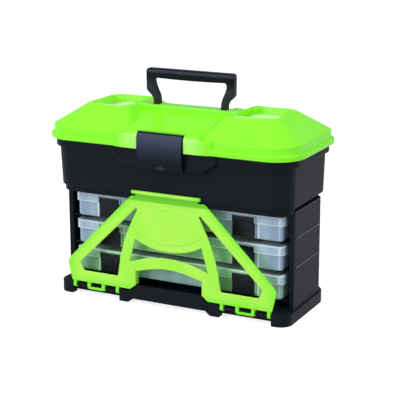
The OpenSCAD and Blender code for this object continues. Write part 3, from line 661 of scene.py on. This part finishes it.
# %% Lid: flange and step
RIM, STEP, SLOPE, CREST = 238.3, 245.8, 258.3, 286.3
LID_X, LID_Y = 200, 93.5
LID = (LID_X, LID_Y, 44)
lid = shell("lid", LID, 0, RIM, STEP, 16)
with editing(lid):
    pick_top()
    inset(4.5)
    pull_up(SLOPE - STEP)
    pick("EDGE", lambda m, w: level(w) and abs(m.z - SLOPE) < 0.1 and (abs(m.x) > 60 or abs(m.y) > 60))
    bevel(2.0, 4)
    pick("EDGE", lambda m, w: level(w) and m.z < STEP + 0.1
         and (abs(m.x) > LID_X - 4 or abs(m.y) > LID_Y - 3 or (abs(m.x) > 150 and abs(m.y) > 50)))
    bevel(1.2, 3)
print("lid rim", [round(v, 4) for v in lid.dimensions])

# %% [markdown]
# A pod is a low block whose top face is pulled up and shrunk, so that all four of its sides
# become slopes and its rounded corners become cones. The twin is a mirrored copy.


# %% Lid: pods
POD_IN, POD_OUT, POD_Y = 52, 193.5, 87
POD_TOP_X, POD_TOP_W, POD_TOP_D = 116, 72, 92


def pod():
    piece = block("pod", (POD_IN, -POD_Y, SLOPE - 3), (POD_OUT, POD_Y, SLOPE))
    with editing(piece):
        pick("EDGE", lambda m, w: upright(w) and m.x > 100)
        bevel(37.5, 16)
        pick("EDGE", lambda m, w: upright(w) and m.x < 60)
        bevel(15, 9)
        pick_top()
        pull_up(CREST - SLOPE)
        widen(POD_OUT - POD_IN, POD_TOP_W, 2 * POD_Y, POD_TOP_D)
        nudge(POD_TOP_X - (POD_IN + POD_OUT) / 2, 0, 0)
        pick("EDGE", lambda m, w: m.z > CREST - 0.1 and level(w))
        bevel(3.5, 5)
    return piece


right_pod = pod()
left_pod = mirrored(right_pod)
print("pods", right_pod.name, left_pod.name)

# %% [markdown]
# Between the pods, one outline drawn across the lid gives the slope, the bar and the floor
# of the handle's well. The boss for the latch is a second, narrower outline. The crown is a
# wider block over the bar; its rounded edges run on into the pods.

# %% Lid: saddle, crown and latch boss
BAR_TOP, BAR_FRONT, BAR_BACK, WELL_Z = 285.8, -14, 18, 268.3
BOSS_X, BOSS_ROOT_X, BOSS_FRONT = 62, 79, -96
saddle = profile("saddle", [
    (-POD_Y, SLOPE - 3), (-POD_Y, SLOPE), (BAR_FRONT, 278.8), (BAR_FRONT, BAR_TOP), (BAR_BACK, BAR_TOP),
    (BAR_BACK, WELL_Z), (65.5, WELL_Z), (66.5, 268.9), (POD_Y, SLOPE), (POD_Y, SLOPE - 3)],
    "X", -72.3, 72.3)
crown = block("crown", (-86, BAR_FRONT - 0.4, 262), (86, BAR_BACK - 1, BAR_TOP))
boss = profile("boss", [(-BOSS_ROOT_X, -92.5), (-BOSS_X, BOSS_FRONT), (BOSS_X, BOSS_FRONT),
                        (BOSS_ROOT_X, -92.5), (BOSS_ROOT_X, -84), (-BOSS_ROOT_X, -84)], "Z", RIM, SLOPE)
boss_top = profile("boss_top", [(BOSS_FRONT, 252), (BOSS_FRONT, 257), (-93.2, 262.2),
                                (BAR_FRONT, 278.9), (BAR_FRONT, 252)], "X", -BOSS_X, BOSS_X)
round_off(crown, 1.6, 4, lambda m, w: m.z > 285 and sideways(w))
round_off(boss, 5.0, 6, lambda m, w: upright(w) and m.y < -90)
round_off(boss, 2.6, 5, lambda m, w: level(w) and m.y < -90 and m.z > SLOPE - 1)
round_off(boss_top, 2.0, 4, lambda m, w: sideways(w) and m.y < -90 and m.z > 256)
round_off(boss_top, 4.6, 7, lambda m, w: abs(m.x) > BOSS_X - 1 and m.z > 255 and abs(w.x) < 0.1)
weld(lid, right_pod, left_pod, saddle, boss, boss_top, crown)
print("fused lid", len(lid.data.polygons), "faces")

# %% [markdown]
# What is hollow is cut last: the pods' trays, the handle's well and leg pockets, the pocket
# for the latch, and the inside. Each cutter is shaped like the air that it leaves.


# %% Lid: trays, well, pockets and hollow
TRAY_IN, TRAY_OUT, TRAY_Y, TRAY_DEPTH = 86, 134, 36, 13.5
MOUTH_W, MOUTH_D, MOUTH_SHIFT = 68.5, 78.4, 7.75
LATCH_X = 36
HOLLOW_WALL, HOLLOW_SLOPE, ABOVE = 11, 26, 300


def tray_cutter():
    piece = block("tray_cutter", (TRAY_IN, -TRAY_Y, CREST - TRAY_DEPTH), (TRAY_OUT, TRAY_Y, CREST + 3))
    with editing(piece):
        pick("EDGE", lambda m, w: upright(w))
        bevel(13, 8)
        pick_top()
        widen(TRAY_OUT - TRAY_IN, MOUTH_W, 2 * TRAY_Y, MOUTH_D)
        nudge(MOUTH_SHIFT, 0, 0)
        pick("EDGE", lambda m, w: m.z < CREST - 13 and level(w))
        bevel(5, 5)
    return piece


right_tray = tray_cutter()
left_tray = mirrored(right_tray)
well = block("well", (-72.5, BAR_BACK, WELL_Z), (72.5, 65.5, ABOVE))
well_mouth = block("well_mouth", (-62.5, 8, WELL_Z), (62.5, 30, ABOVE))
right_pocket = block("right_pocket", (49.5, -8, WELL_Z), (59.5, 19, ABOVE))
left_pocket = mirrored(right_pocket)
latch_pocket = block("latch_pocket", (-LATCH_X - 1, -110, RIM - 2), (LATCH_X + 1, -85.2, 264.5))
hollow_x, hollow_y = LID_X - HOLLOW_WALL, LID_Y - HOLLOW_WALL
hollow = shell("hollow", LID, HOLLOW_WALL, RIM - 2, SLOPE - 3)
with editing(hollow):
    pick_top()
    pull_up(9.5)
    widen(hollow_x, hollow_x - HOLLOW_SLOPE, hollow_y, hollow_y - HOLLOW_SLOPE)
cut(lid, right_tray, left_tray, well, well_mouth, right_pocket, left_pocket, latch_pocket, hollow)
soften(lid, 1.1, 2, 38)
print("hollow lid", len(lid.data.polygons), "faces")

# %% [markdown]
# The lid turns on two knuckles behind it. The bin's own knuckles, made later by the same
# steps, sit on both sides of each, with a steel pin through all three.

# %% Lid: knuckles
HINGE_X, HINGE_Y, HINGE_Z = 110, 94.5, 232.8
KNUCKLE_R, PIN_BORE = 5.0, 1.55


def knuckle(name, middle, width, top, reach):
    """A round knuckle with the web that carries it."""
    piece = rod(name, KNUCKLE_R, middle - width / 2, middle + width / 2, (HINGE_Y, HINGE_Z))
    weld(piece, block("web", (middle - width / 2, reach, min(HINGE_Z, top)),
                      (middle + width / 2, HINGE_Y + (2 if top > HINGE_Z else 0), max(HINGE_Z, top))))
    cut(piece, rod("pin_hole", PIN_BORE, middle - width, middle + width, (HINGE_Y, HINGE_Z)))
    return piece


join(lid, *[knuckle("lid_knuckle", side * HINGE_X, 7.6, STEP - 1, 90.5) for side in (-1, 1)])
smooth(lid, 40)
hang(lid, "lid", "lime_body", lime_plastic, "lid_shell")

# %% [markdown]
# ## The storage bin
# The bin is a deep tub whose walls lean out slightly, so that it leaves its mould. A band
# around the top is rolled outwards and down to stiffen it. A boss in front carries the catch
# that the latch snaps over. Slabs with round corners give the tub, its foot and the band.

# %% Bin: tub, foot and band
FLOOR_Z, WALL_Z, BAND_Z, BIN_TOP = 160.3, 166.3, 225.8, 238.0
TUB, TUB_TOP_X, TUB_TOP_Y = (186, 77, 28), 187.5, 81
BAND, ROLL = (193, 86.5, 37), 2.5


def tub_slab(name, wall, low, high):
    """The tub's shape, `wall` millimetres inside its outer face."""
    piece = shell(name, TUB, wall, low, high, 14)
    with editing(piece):
        pick_top()
        widen(TUB[0] - wall, TUB_TOP_X - wall, TUB[1] - wall, TUB_TOP_Y - wall)
    return piece


def foot_slab(name, wall, low, high):
    return slab(name, 179.7 - wall, -68.7 + wall, 72 - wall, low, high, 21 - wall, 24 - wall, 10)


tub = tub_slab("storage_bin_tub", 0, WALL_Z, BIN_TOP + 3.5)
round_off(tub, 1.6, 4, lambda m, w: level(w) and m.z < WALL_Z + 0.1)
band = shell("band", BAND, 0, BAND_Z, BIN_TOP, 14)
round_off(band, 1.4, 3, lambda m, w: level(w) and m.z < BAND_Z + 0.1)
round_off(band, 2.2, 4, lambda m, w: level(w) and m.z > BIN_TOP - 0.1)
cut(band, shell("channel", BAND, ROLL, BAND_Z - 3, BIN_TOP - ROLL, 14))
boss_side = [(84, BIN_TOP - 0.6), (84, BAND_Z), (60, 211.3)]
front_boss = profile("front_boss", [(-x, z) for x, z in boss_side] + boss_side[::-1], "Y", -90.5, -79)
round_off(front_boss, 3.0, 4, lambda m, w: m.y < -90 and abs(w.y) < 0.1)
round_off(front_boss, 5, 4, lambda m, w: inwards(w) and m.z < 226)
weld(tub, foot_slab("foot", 0, FLOOR_Z, WALL_Z + 2), band, front_boss)
print("tub", len(tub.data.polygons), "faces")

# %% [markdown]
# The inside is cut with the same two shapes, made smaller by the wall.

# %% Bin: inside, catch and hinge knuckles
BIN_WALL = 3
cut(tub, tub_slab("inside", BIN_WALL, WALL_Z + BIN_WALL, BIN_TOP + 6),
    foot_slab("foot_inside", BIN_WALL, FLOOR_Z + BIN_WALL, WALL_Z + 4))
weld(tub, block("catch", (-30, -91.5, 219.3), (30, -88, 221.8)))
soften(tub, 0.7, 2, 40)
bin_knuckles = [knuckle("bin_knuckle", side * (HINGE_X + offset), 8, HINGE_Z - KNUCKLE_R, 84.5)
                for side in (-1, 1) for offset in (-8.5, 8.5)]
join(tub, *bin_knuckles)
smooth(tub, 40)
hang(tub, "cabinet", "black_body", black_plastic, "storage_bin")

# %% [markdown]
# ## The latch
# The latch is a wide flap with a gently bulging face. It is one curved outline, seen from
# the side, drawn out along the lid. A thumb notch at its lower edge helps to pull it open.

# %% Main latch
FACE_R, FACE_Y, FACE_Z = 70.0, -29.5, 237.3
FLAP_LOW, FLAP_HIGH, FLAP_THICK = 211.3, 263.3, 3
LATCH_PIN = (-90.5, 258.3)


def face_arc(radius, steps=14):
    """Points (y, z) of the flap's face, from its lower to its upper edge."""
    rows = [FLAP_LOW + (FLAP_HIGH - FLAP_LOW) * i / steps for i in range(steps + 1)]
    return [(FACE_Y - sqrt(radius ** 2 - (z - FACE_Z) ** 2), z) for z in rows]


latch = profile("main_latch_flap", face_arc(FACE_R) + face_arc(FACE_R - FLAP_THICK)[::-1],
                "X", -LATCH_X, LATCH_X)
weld(latch, rod("barrel", 4, -35.7, 35.7, LATCH_PIN),
     block("root", (-35.3, -94.6, 256.3), (35.3, LATCH_PIN[0], 261.3)),
     block("hook", (-32, -95, 213.5), (32, -91.8, 216.3)))
round_off(latch, 1.8, 5, lambda m, w: m.z > FLAP_HIGH - 0.1 and sideways(w) and m.y < -94)
round_off(latch, 1.0, 3, lambda m, w: abs(m.x) > LATCH_X - 0.1 and m.y < -94 and abs(w.x) < 0.1)
bpy.ops.mesh.primitive_cylinder_add(vertices=32, radius=7.5 * MM, depth=14 * MM,
                                    location=(0, -101.2 * MM, 209.5 * MM), rotation=(radians(96), 0, 0))
notch = settle(bpy.context.object)
cut(latch, notch, rod("latch_bore", PIN_BORE, -40, 40, LATCH_PIN))
soften(latch, 0.6, 2, 40)
smooth(latch, 40)
hang(latch, "lid_latch", "black_trim", latch_painted_light, "main_latch")

# %% [markdown]
# ## The handle
# Seen from the front, the handle is a flat U that steps in towards its feet. Its outline is
# drawn out to the handle's thickness, and a wide bevel rounds the grip for the hand. The
# grip's underside sags a little, as the photograph shows, which fills the palm.

# %% Carry handle
GRIP_X, GRIP_Z, GRIP_R = 66.5, 333.3, 4.5
PIVOT_Z, LEG_IN, LEG_OUT, HANDLE_Y = 276.3, 50, 59, 7
turns = [pi / 12 * i for i in range(7)]
right_side = [(GRIP_X + GRIP_R * sin(t), GRIP_Z + GRIP_R * cos(t)) for t in turns]
right_side += [(70.8, 308), (70, 305), (66.5, 301.5), (62.5, 298), (60, 294.5), (LEG_OUT, 290),
               (LEG_OUT, PIVOT_Z), (LEG_IN, PIVOT_Z), (LEG_IN, 290), (50.6, 296), (52, 300.5),
               (54.2, 305), (57.3, 312), (58.8, 318), (58.6, 321.4), (56.5, 323.9)]
right_side += [(x, 322.95 + (x / 56.5) ** 2) for x in (48, 40, 32, 24, 16, 8, 0)]
handle = profile("carry_handle_bar", mirror_line(right_side), "Y", -HANDLE_Y, HANDLE_Y)
round_off(handle, 3.4, 6, lambda m, w: abs(abs(m.y) - HANDLE_Y) < 0.05 and m.z > 277)
studs = [rod("stud", 3, low, high, (0, PIVOT_Z)) for low, high in ((46.2, 52), (-52, -46.2))]
feet = [rod("foot", 6.9, low, high, (0, PIVOT_Z))
        for low, high in ((LEG_IN, LEG_OUT), (-LEG_OUT, -LEG_IN))]
for piece in feet:
    round_off(piece, 0.8, 3, lambda m, w: abs(w.x) < 0.1)
weld(handle, *feet, *studs)
smooth(handle, 45)
hang(handle, "handle", "black_trim", handle_painted_light, "carry_handle")

# %% [markdown]
# ## The gate
# The gate is one flat sheet with windows in it. Its outline is drawn in the XZ plane and
# given its thickness along Y; each window is a cutter with rounded corners. A thick bevel then
# makes the arms look pillowed, as moulded ribs do. The finger lip is a profile along X.


# %% Gate: sheet and windows
GATE_FRONT, GATE_BACK = -74.8, -72.3
CUT_FRONT, CUT_BACK = -80, -70
OVAL_X, OVAL_TALL, OVAL_Z = 58, 27, 124


def bowed(start, end, rise, steps=12):
    """Points of an arc that bows sideways by `rise` between two points."""
    (x0, z0), (x1, z1) = start, end
    length = sqrt((x1 - x0) ** 2 + (z1 - z0) ** 2)
    across, up = (z0 - z1) / length, (x1 - x0) / length
    shares = [i / steps for i in range(steps + 1)]
    return [(x0 + (x1 - x0) * t + across * rise * sin(pi * t),
             z0 + (z1 - z0) * t + up * rise * sin(pi * t)) for t in shares]


arch = [(54 * (1 - i / 12), 49 + 9.5 * sin(pi / 24 * i)) for i in range(1, 13)]
outline = [(50, 165.0), (50, 162.9), (57.8, 163.7), (61.8, 161.2), (165.5, 57), (169, 52), (170, 48),
           (163.5, 20.3), (63.5, 20.3), (54, 28.3), (54, 49)] + arch
gate = profile("front_gate_sheet", mirror_line(outline), "Y", GATE_FRONT - 0.4, GATE_BACK)
round_off(gate, 1.6, 3, lambda m, w: inwards(w) and (
    (abs(m.x) > 160 and m.z > 40) or (abs(m.x) > 162 and m.z < 22) or (56 < abs(m.x) < 63 and m.z > 160)))


def window_cutter():
    line = [(149, 50.5), (51.2, 145.3)] + bowed((49.7, 143.3), (84, 37.8), 6) + [(143, 37.8)]
    piece = profile("window", line, "Y", CUT_FRONT, CUT_BACK)
    round_off(piece, 3.0, 5, lambda m, w: inwards(w) and (m.x > 140 or (m.z < 38 and m.x < 90)))
    return piece


right_window = window_cutter()
left_window = mirrored(right_window)
steps = [1 - i / 12 for i in range(25)]
eye_top = [(53.7 * t, OVAL_Z - 39 * sqrt(1 - (53.7 * t / 70) ** 2)) for t in steps]
eye_foot = [(-64 * t, 62.3 + 13 * (1 - t ** 2)) for t in steps]
eye = profile("eye", eye_top + eye_foot, "Y", CUT_FRONT, CUT_BACK)
cut(gate, right_window, left_window, eye)
soften(gate, 1.15, 4, 60, clamp=False)
print("gate sheet", len(gate.data.polygons), "faces")

# %% [markdown]
# The oval in the middle is left bare: a raised disc with a rounded rim and a slightly dished
# face. The lip leans out past the bin so that fingers can pull it. A throat joins it to the
# sheet. Both are smooth outlines, seen from the side and drawn along X.

# %% Gate: oval, throat and lip
turns = [2 * pi * i / 72 for i in range(72)]
oval = profile("oval", [(OVAL_X * cos(t), OVAL_Z + OVAL_TALL * sin(t)) for t in turns],
               "Y", GATE_FRONT - 1.0, GATE_BACK - 0.4)
with editing(oval):
    pick("FACE", lambda m, n: n.y < -0.9)
    inset(2.6)
    inset(1.2)
    nudge(0, 0.55, 0)
    pick("EDGE", lambda m, w: abs(m.y - GATE_FRONT + 1.0) < 0.05 and abs(w.y) < 0.1
         and ((m.x / (OVAL_X - 0.6)) ** 2 + ((m.z - OVAL_Z) / (OVAL_TALL - 0.6)) ** 2) > 0.99)
    bevel(0.8, 3)
throat = profile("throat", [(-74.9, 157), (-72.3, 157), (-72.3, 161.5), (-74.0, 163.8), (-77.2, 166.2),
                            (-78.4, 167.6), (-78.6, 169.2), (-80.6, 169.2), (-80.4, 168.2),
                            (-79.2, 166.4), (-77.3, 164.2), (-75.7, 161.8)], "X", -50, 50)
lip = profile("lip", [(-79.3, 168.0), (-81.0, 168.2), (-82.0, 169.0), (-82.3, 170.3), (-82.2, 171.6),
                      (-81.6, 172.6), (-80.4, 173.1), (-78.6, 173.1), (-77.8, 172.4), (-77.8, 168.8),
                      (-78.4, 168.2)], "X", -55, 55)
round_off(lip, 0.5, 3, lambda m, w: abs(m.x) > 54.9)
weld(gate, oval, throat, lip)

# %% [markdown]
# Along its lower edge the gate clips over two rods of the plinth. Each clip is a hook around
# the rod. The clips and the bars between them are joined last.


# %% Gate: flanges, clips and snap sockets
GATE_ROD = (-71, 14)
SNAP_X, SNAP_Z = 30, 160.8
CLIPS = (85.5, 110, 134.5, 159)


def clip(x):
    piece = block("clip", (x - 2.4, -74.9, 15), (x + 2.4, -70.2, 22))
    weld(piece, rod("clip_eye", 4.4, x - 2.5, x + 2.5, GATE_ROD, 40))
    cut(piece, rod("clip_bore", 2.25, x - 4, x + 4, GATE_ROD),
        block("clip_mouth", (x - 4, GATE_ROD[0], 12.2), (x + 4, -62, 15.8)))
    soften(piece, 0.5, 3, 50)
    return piece


for side in (-1, 1):
    flange = side_block("flange", side, (54.15, 56.5), (-74.0, -64.8), (28.6, 49.2))
    round_off(flange, 0.8, 3, lambda m, w: m.y > -65)
    weld(gate, flange)
    cut(gate, rod_inwards("socket", 2.1, 2, (side * SNAP_X, -72.9, SNAP_Z)))
for side in (-1, 1):
    bar = side_block("clip_bar", side, CLIPS[1:3], (-75.2, -73.8), (10.1, 13.6))
    join(gate, bar, *[clip(side * x) for x in CLIPS])
smooth(gate, 40)
hang(gate, "gate", "lime_gate", gate_plastic, "front_gate")

# %% [markdown]
# ## The utility boxes
# The three boxes are the same moulding, so one is modelled and the others are moved copies.
# A thin-walled box could be made with a Solidify modifier, but cutting the inside out of a
# rounded slab keeps both radii true. SLOTS are the dividers' places across the box.

# %% Box: tray
BASE = BOX_BASE["bottom"]
BOX_X, BOX_WALL = 167, 1.6
BOX = (BOX_X, 49, 7)
SLOTS = [2 * BOX_X / 5 * i - BOX_X for i in range(1, 5)]
CLASP_X = 109
CLASPS = (-CLASP_X, CLASP_X)
CLASP_PIN = (-53.5, BASE + 31)
tray = shell("tray", BOX, 0, BASE, BASE + 34.1, 6)
round_off(tray, 3.2, 4, lambda m, w: level(w) and m.z < BASE + 0.1)
round_off(tray, 0.4, 2, lambda m, w: level(w) and m.z > BASE + 34.0)
tray_inside = shell("tray_inside", BOX, BOX_WALL, BASE + BOX_WALL, BASE + 40, 6)
round_off(tray_inside, 2.4, 4, lambda m, w: level(w) and m.z < BASE + 2)
cut(tray, tray_inside)
ribs = [block("rib", (x + gap - 0.5, low, BASE + 1.2), (x + gap + 0.5, high, BASE + 28))
        for x in SLOTS for gap in (-1.3, 1.3) for low, high in ((-48, -45.2), (45.2, 48))]
catches = [block("box_catch", (x - 14, -50.8, BASE + 8), (x + 14, -48, BASE + 9.5)) for x in CLASPS]
guards = [block("guard", (x + edge - 0.9, -51.6, BASE + 4.5), (x + edge + 0.9, -48, BASE + 22.4))
          for x in CLASPS for edge in (-18.3, 18.3)]
weld(tray, join(*ribs, *catches, *guards))
print("tray", len(tray.data.polygons), "faces")

# %% [markdown]
# The lid of a box overhangs the tray, and its skirt's lower edge shows as a bright line across the front,
# partly a painted highlight.
# A raised border frames the top. Two ears beside each latch hold its studs.

# %% Box: lid
COVER_X, COVER_Y, COVER_R = COVER = (170, 52, 10)


def on_rim(m):
    """On the outer edge of the box's lid, also where it goes round a corner."""
    x, y = abs(m.x), abs(m.y)
    from_corner = (x - COVER_X + COVER_R) ** 2 + (y - COVER_Y + COVER_R) ** 2
    return x > COVER_X - 2 or y > COVER_Y - 0.5 or (
        x > COVER_X - 7.5 and y > COVER_Y - 7.5 and from_corner > (COVER_R - 1) ** 2)


box_lid = shell("box_lid", COVER, 0, BASE + 23, BASE + 36, 8)
with editing(box_lid):
    pick_top()
    inset(4.2)
    inset(0.9)
    nudge(0, 0, -0.7)
    pick("EDGE", lambda m, w: level(w) and m.z > BASE + 35.9 and on_rim(m))
    bevel(1.3, 3)
    pick("EDGE", lambda m, w: level(w) and m.z < BASE + 23.1)
    bevel(0.5, 2)
cut(box_lid, shell("lid_inside", COVER, BOX_WALL, BASE + 20, BASE + 34.2, 8))
ears = [block("ear", (x + edge - 0.9, -54.7, BASE + 24), (x + edge + 0.9, -51, BASE + 33))
        for x in CLASPS for edge in (-18.2, 18.2)]
for ear in ears:
    round_off(ear, 1.0, 3, lambda m, w: m.y < -54.6 and sideways(w))
weld(box_lid, join(*ears))
cut(box_lid, *[rod("stud_bore", 0.95, x - 18.6, x + 18.6, CLASP_PIN, 16) for x in CLASPS])
print("box lid", len(box_lid.data.polygons), "faces")

# %% [markdown]
# A divider is a loose plate that slides between two ribs. It has chamfered feet, so that it
# clears the rounded bottom of the tray, and a rounded top edge.

# %% Box: dividers
plates = []
right_edge = [(45.1, 1.9), (45.1, 4.4), (47.0, 5.6), (47.0, 30)]
plate_outline = [(y, BASE + z) for y, z in mirror_line(right_edge)]
for x in SLOTS:
    plate = profile("divider", plate_outline, "X", x - 0.6, x + 0.6)
    round_off(plate, 0.4, 3, lambda m, w: m.z > BASE + 29.9 and inwards(w))
    plates.append(plate)
dividers = join(*plates)
print("dividers", len(plates))

# %% [markdown]
# The latch is one curved section drawn along X: a barrel at the top, a slightly hollow face
# and a thicker lower lip for the thumb.

# %% Box: latch
section = [(-52.3, 3.2), (-54.5, 3.0), (-54.7, 4.6), (-54.3, 6.6), (-53.9, 9), (-53.8, 14),
           (-53.9, 20), (-54.3, 23.4), (-54.6, 25.2), (-54.7, 28.6), (-54.6, 30.6), (-54.2, 31.7),
           (-53.5, 32.2), (-52.8, 32.0), (-52.3, 31.2)]
low, high = CLASP_X - 17, CLASP_X + 17
clasp = profile("clasp", [(y, BASE + z) for y, z in section], "X", low, high)
round_off(clasp, 0.6, 3, lambda m, w: (m.x < low + 0.1 or m.x > high - 0.1) and m.y < -53)
hook = block("box_hook", (CLASP_X - 13, -53.4, BASE + 5.5), (CLASP_X + 13, -49.7, BASE + 7.7))
round_off(hook, 0.6, 2, lambda m, w: m.y > -50 and sideways(w))
weld(clasp, hook, rod("box_stud", 0.9, CLASP_X - 18.2, CLASP_X + 18.2, CLASP_PIN, 16))
for piece in (tray, box_lid, dividers, clasp):
    smooth(piece, 35)

# %% Box: the three boxes in their places
for place, base in BOX_BASE.items():
    lift = base - BASE
    box_body = place + "_box"
    for piece, node in ((tray, "tray"), (box_lid, "lid"), (dividers, "dividers")):
        name = box_body + "_" + node
        hang(moved(piece, name + "_moulding", (0, 0, lift)), box_body, "clear_box", clear_plastic, name)
    for side, shift in (("left", -2 * CLASP_X), ("right", 0)):
        name = box_body + "_latch_" + side
        hang(moved(clasp, name + "_clasp", (shift, 0, lift)), name, "black_trim", black_gloss, name)
for piece in (tray, box_lid, dividers, clasp):
    bpy.data.objects.remove(piece)

# %% [markdown]
# ## The rack
# The rack is a plinth with two side walls, a back and a strip across the front. The plinth
# is a shallow tray turned upside down. Its front carries the gate's rods in two pockets, and a
# raised fascia fills the gap between the gate's legs.

# %% Rack: plinth
PLINTH_X, PLINTH_FRONT, PLINTH_BACK, PLINTH_TOP = 187.5, -75.5, 76, 18
RACK_WALL, ROD_IN, ROD_OUT, POCKET_BACK = 3, 79.5, 165, -66.3
LUG = [(67, 0.2), (81.7, 0.2), (81.7, 16.5), (59, 16.5), (59, 7)]
plinth = slab("plinth_moulding", PLINTH_X, PLINTH_FRONT, PLINTH_BACK, 0, PLINTH_TOP, 18, 30, 12)
round_off(plinth, 1.8, 4, lambda m, w: level(w) and m.z > PLINTH_TOP - 0.1)
cut(plinth, slab("plinth_inside", PLINTH_X - RACK_WALL, PLINTH_FRONT + RACK_WALL,
                 PLINTH_BACK - RACK_WALL, -1, PLINTH_TOP - RACK_WALL, 15, 27, 10),
    block("front_relief", (-67, -77, -1), (67, -69.5, 6.3)))
for side in (-1, 1):
    cut(plinth, side_block("pocket", side, (82, 162.5), (-77, POCKET_BACK), (-1, 20)))
    weld(plinth, side_block("pocket_wall", side, (ROD_IN, ROD_OUT), (POCKET_BACK, -63.8), (4, 17.9)),
         side_block("rod_end", side, (162.5, ROD_OUT), (-72.6, -63.8), (0, 17.5)))
    lug = profile("lug", [(side * x, z) for x, z in LUG], "Y", -75.9, -64)
    round_off(lug, 0.8, 3, lambda m, w: m.y < -75.8 and abs(w.y) < 0.1)
    weld(plinth, lug)
fascia = profile("fascia", mirror_line([(62.5, 17), (62.5, 18), (53.5, 26.5), (52, 28)]),
                 "Y", PLINTH_FRONT, PLINTH_FRONT + RACK_WALL)
round_off(fascia, 0.9, 3, lambda m, w: m.y < PLINTH_FRONT + 0.1 and abs(w.y) < 0.1 and m.z > 18.1)
weld(plinth, fascia)
soften(plinth, 0.5, 2, 50)
join(plinth, *[rod("hinge_rod", 2.2, low, high, GATE_ROD, 24)
               for low, high in ((-ROD_OUT, -ROD_IN), (ROD_IN, ROD_OUT))])
smooth(plinth, 40)
hang(plinth, "cabinet", "black_body", black_plastic, "plinth")

# %% [markdown]
# A side wall is a flat panel with a pillar along its front edge. Two beads run along its
# outside, level with the upper boxes; each is a small half-round rail that catches the light.
# Three runners inside carry the boxes, and a ledge at the top closes the gap under the bin.


# %% Rack: side walls
RACK_X, RACK_TOP, STRIP_Z, BEAD_RISE = 185, 160.3, 157.3, 6.5


def side_wall():
    wall = block("side_wall", (RACK_X - RACK_WALL, -46, PLINTH_TOP), (RACK_X, 45, RACK_TOP))
    round_off(wall, 1.6, 4, lambda m, w: upright(w) and m.y < -45 and m.x > 184)
    pillar = block("pillar", (176.5, -46, PLINTH_TOP), (183, -40, RACK_TOP))
    round_off(pillar, 1.0, 3, lambda m, w: upright(w) and m.x < 177)
    weld(wall, pillar, block("top_ledge", (178, -43, STRIP_Z), (183, 44.9, 160.2)))
    for base in (BOX_BASE["middle"], BOX_BASE["top"]):
        weld(wall, rod_inwards("bead", 1.2, 88, (RACK_X, 1, base + BEAD_RISE), 16))
    for base in BOX_BASE.values():
        runner = block("runner", (160, -44, base - 3.3), (182.5, 45, base - 0.3))
        round_off(runner, 0.8, 3, lambda m, w: m.x < 161 or (m.y < -43 and sideways(w)))
        weld(wall, runner)
    return wall


def rail_finish():
    """The same black, with a painted highlight along the beads, the top ledge's edge and the wall's front
    edge.
    """
    sheet = Sheet("rail_plastic")
    x, y, z = sheet.along("X").size(), sheet.along("Y"), sheet.along("Z")
    # Painted highlight: pale lines along the two beads, the top ledge's edge and, faintly, the wall's
    # front edge.
    beads = x.ramp(185.1, 185.5) * z.line(80.0, 0.8, 0.7).larger(z.line(122.5, 0.8, 0.7))
    beads = beads.larger(z.ramp(159.2, 159.8) * x.ramp(183.6, 184.2) * 0.6)
    edge = x.ramp(183.2, 183.8) * (0 - y).ramp(44.2, 45.0)
    cloud = sheet.noise(14.0, 3.0)
    tint = sheet.mix(cloud, (*BLACK, 1), (*BLACK_LIGHTER, 1))
    tint = sheet.mix(beads.larger(edge * 0.2), tint, (0.120, 0.132, 0.150, 1))
    return sheet.plastic(tint, cloud * UNEVEN + 0.41, sheet.noise(1400.0, 2.0, 0.6), 0.10,
                         {"IOR": BLACK_IOR})


rail_plastic = rail_finish()
right_wall = side_wall()
left_wall = mirrored(right_wall)
for piece, node in ((right_wall, "rack_side_right"), (left_wall, "rack_side_left")):
    piece.name = node + "_panel"
    smooth(piece, 35)
    hang(piece, "cabinet", "black_body", rail_plastic, node)

# %% [markdown]
# The back is a channel with rounded corners. Three shallow panels are pressed into its
# outside, which keeps such a large flat wall stiff.

# %% Rack: back
BACK_FRONT, BACK_Y = 30, 57
back = slab("rack_back_panel", RACK_X, BACK_FRONT, BACK_Y, PLINTH_TOP, RACK_TOP, 1, 12, 10)
cut(back, slab("back_inside", RACK_X - RACK_WALL, 20, BACK_Y - RACK_WALL, 10, 170, 1, 9, 10),
    block("front_half", (-190, 20, 10), (190, 45, 170)))
for x in (-112, 0, 112):
    panel = block("pressed_panel", (x - 50, BACK_Y - 0.6, 32), (x + 50, 60, 146))
    round_off(panel, 5, 5, lambda m, w: inwards(w))
    cut(back, panel)
soften(back, 0.4, 2, 40)
smooth(back, 40)
hang(back, "cabinet", "black_body", black_plastic, "rack_back")

# %% [markdown]
# The strip across the front is half a shallow tray. A tongue behind it rests between the side
# walls' pillars, and two studs snap into the gate.

# %% Rack: front strip
STRIP_X, STRIP_FRONT = 183, -72
strip = slab("rack_header_strip", STRIP_X, STRIP_FRONT, 0, STRIP_Z, 166, 24, 1, 14)
round_off(strip, 1.2, 3, lambda m, w: level(w) and m.z < STRIP_Z + 0.1)
cut(strip, slab("strip_inside", STRIP_X - RACK_WALL, STRIP_FRONT + RACK_WALL, 10,
                STRIP_Z + RACK_WALL, 170, 21, 1, 14),
    block("behind", (-190, -46, 150), (190, 10, 170)))
weld(strip, block("strip_tongue", (-176.5, -47, STRIP_Z), (176.5, -40, STRIP_Z + RACK_WALL)))
soften(strip, 0.4, 2, 50)
for side in (-1, 1):
    join(strip, rod_inwards("snap_stud", 1.8, 3.8, (side * SNAP_X, -71.9, SNAP_Z), 20))
smooth(strip, 40)
hang(strip, "cabinet", "black_body", black_plastic, "rack_header")

# %% [markdown]
# ## Pins
# The three steel pins are round bars, and the CAD's own are already right. They only need
# a metal finish.

# %% Pins
for node in ("lid_hinge_pin_left", "lid_hinge_pin_right", "main_latch_pin"):
    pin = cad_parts[node]
    pin.data.materials.clear()
    pin.data.materials.append(pin_steel)
    print(node, "steel")
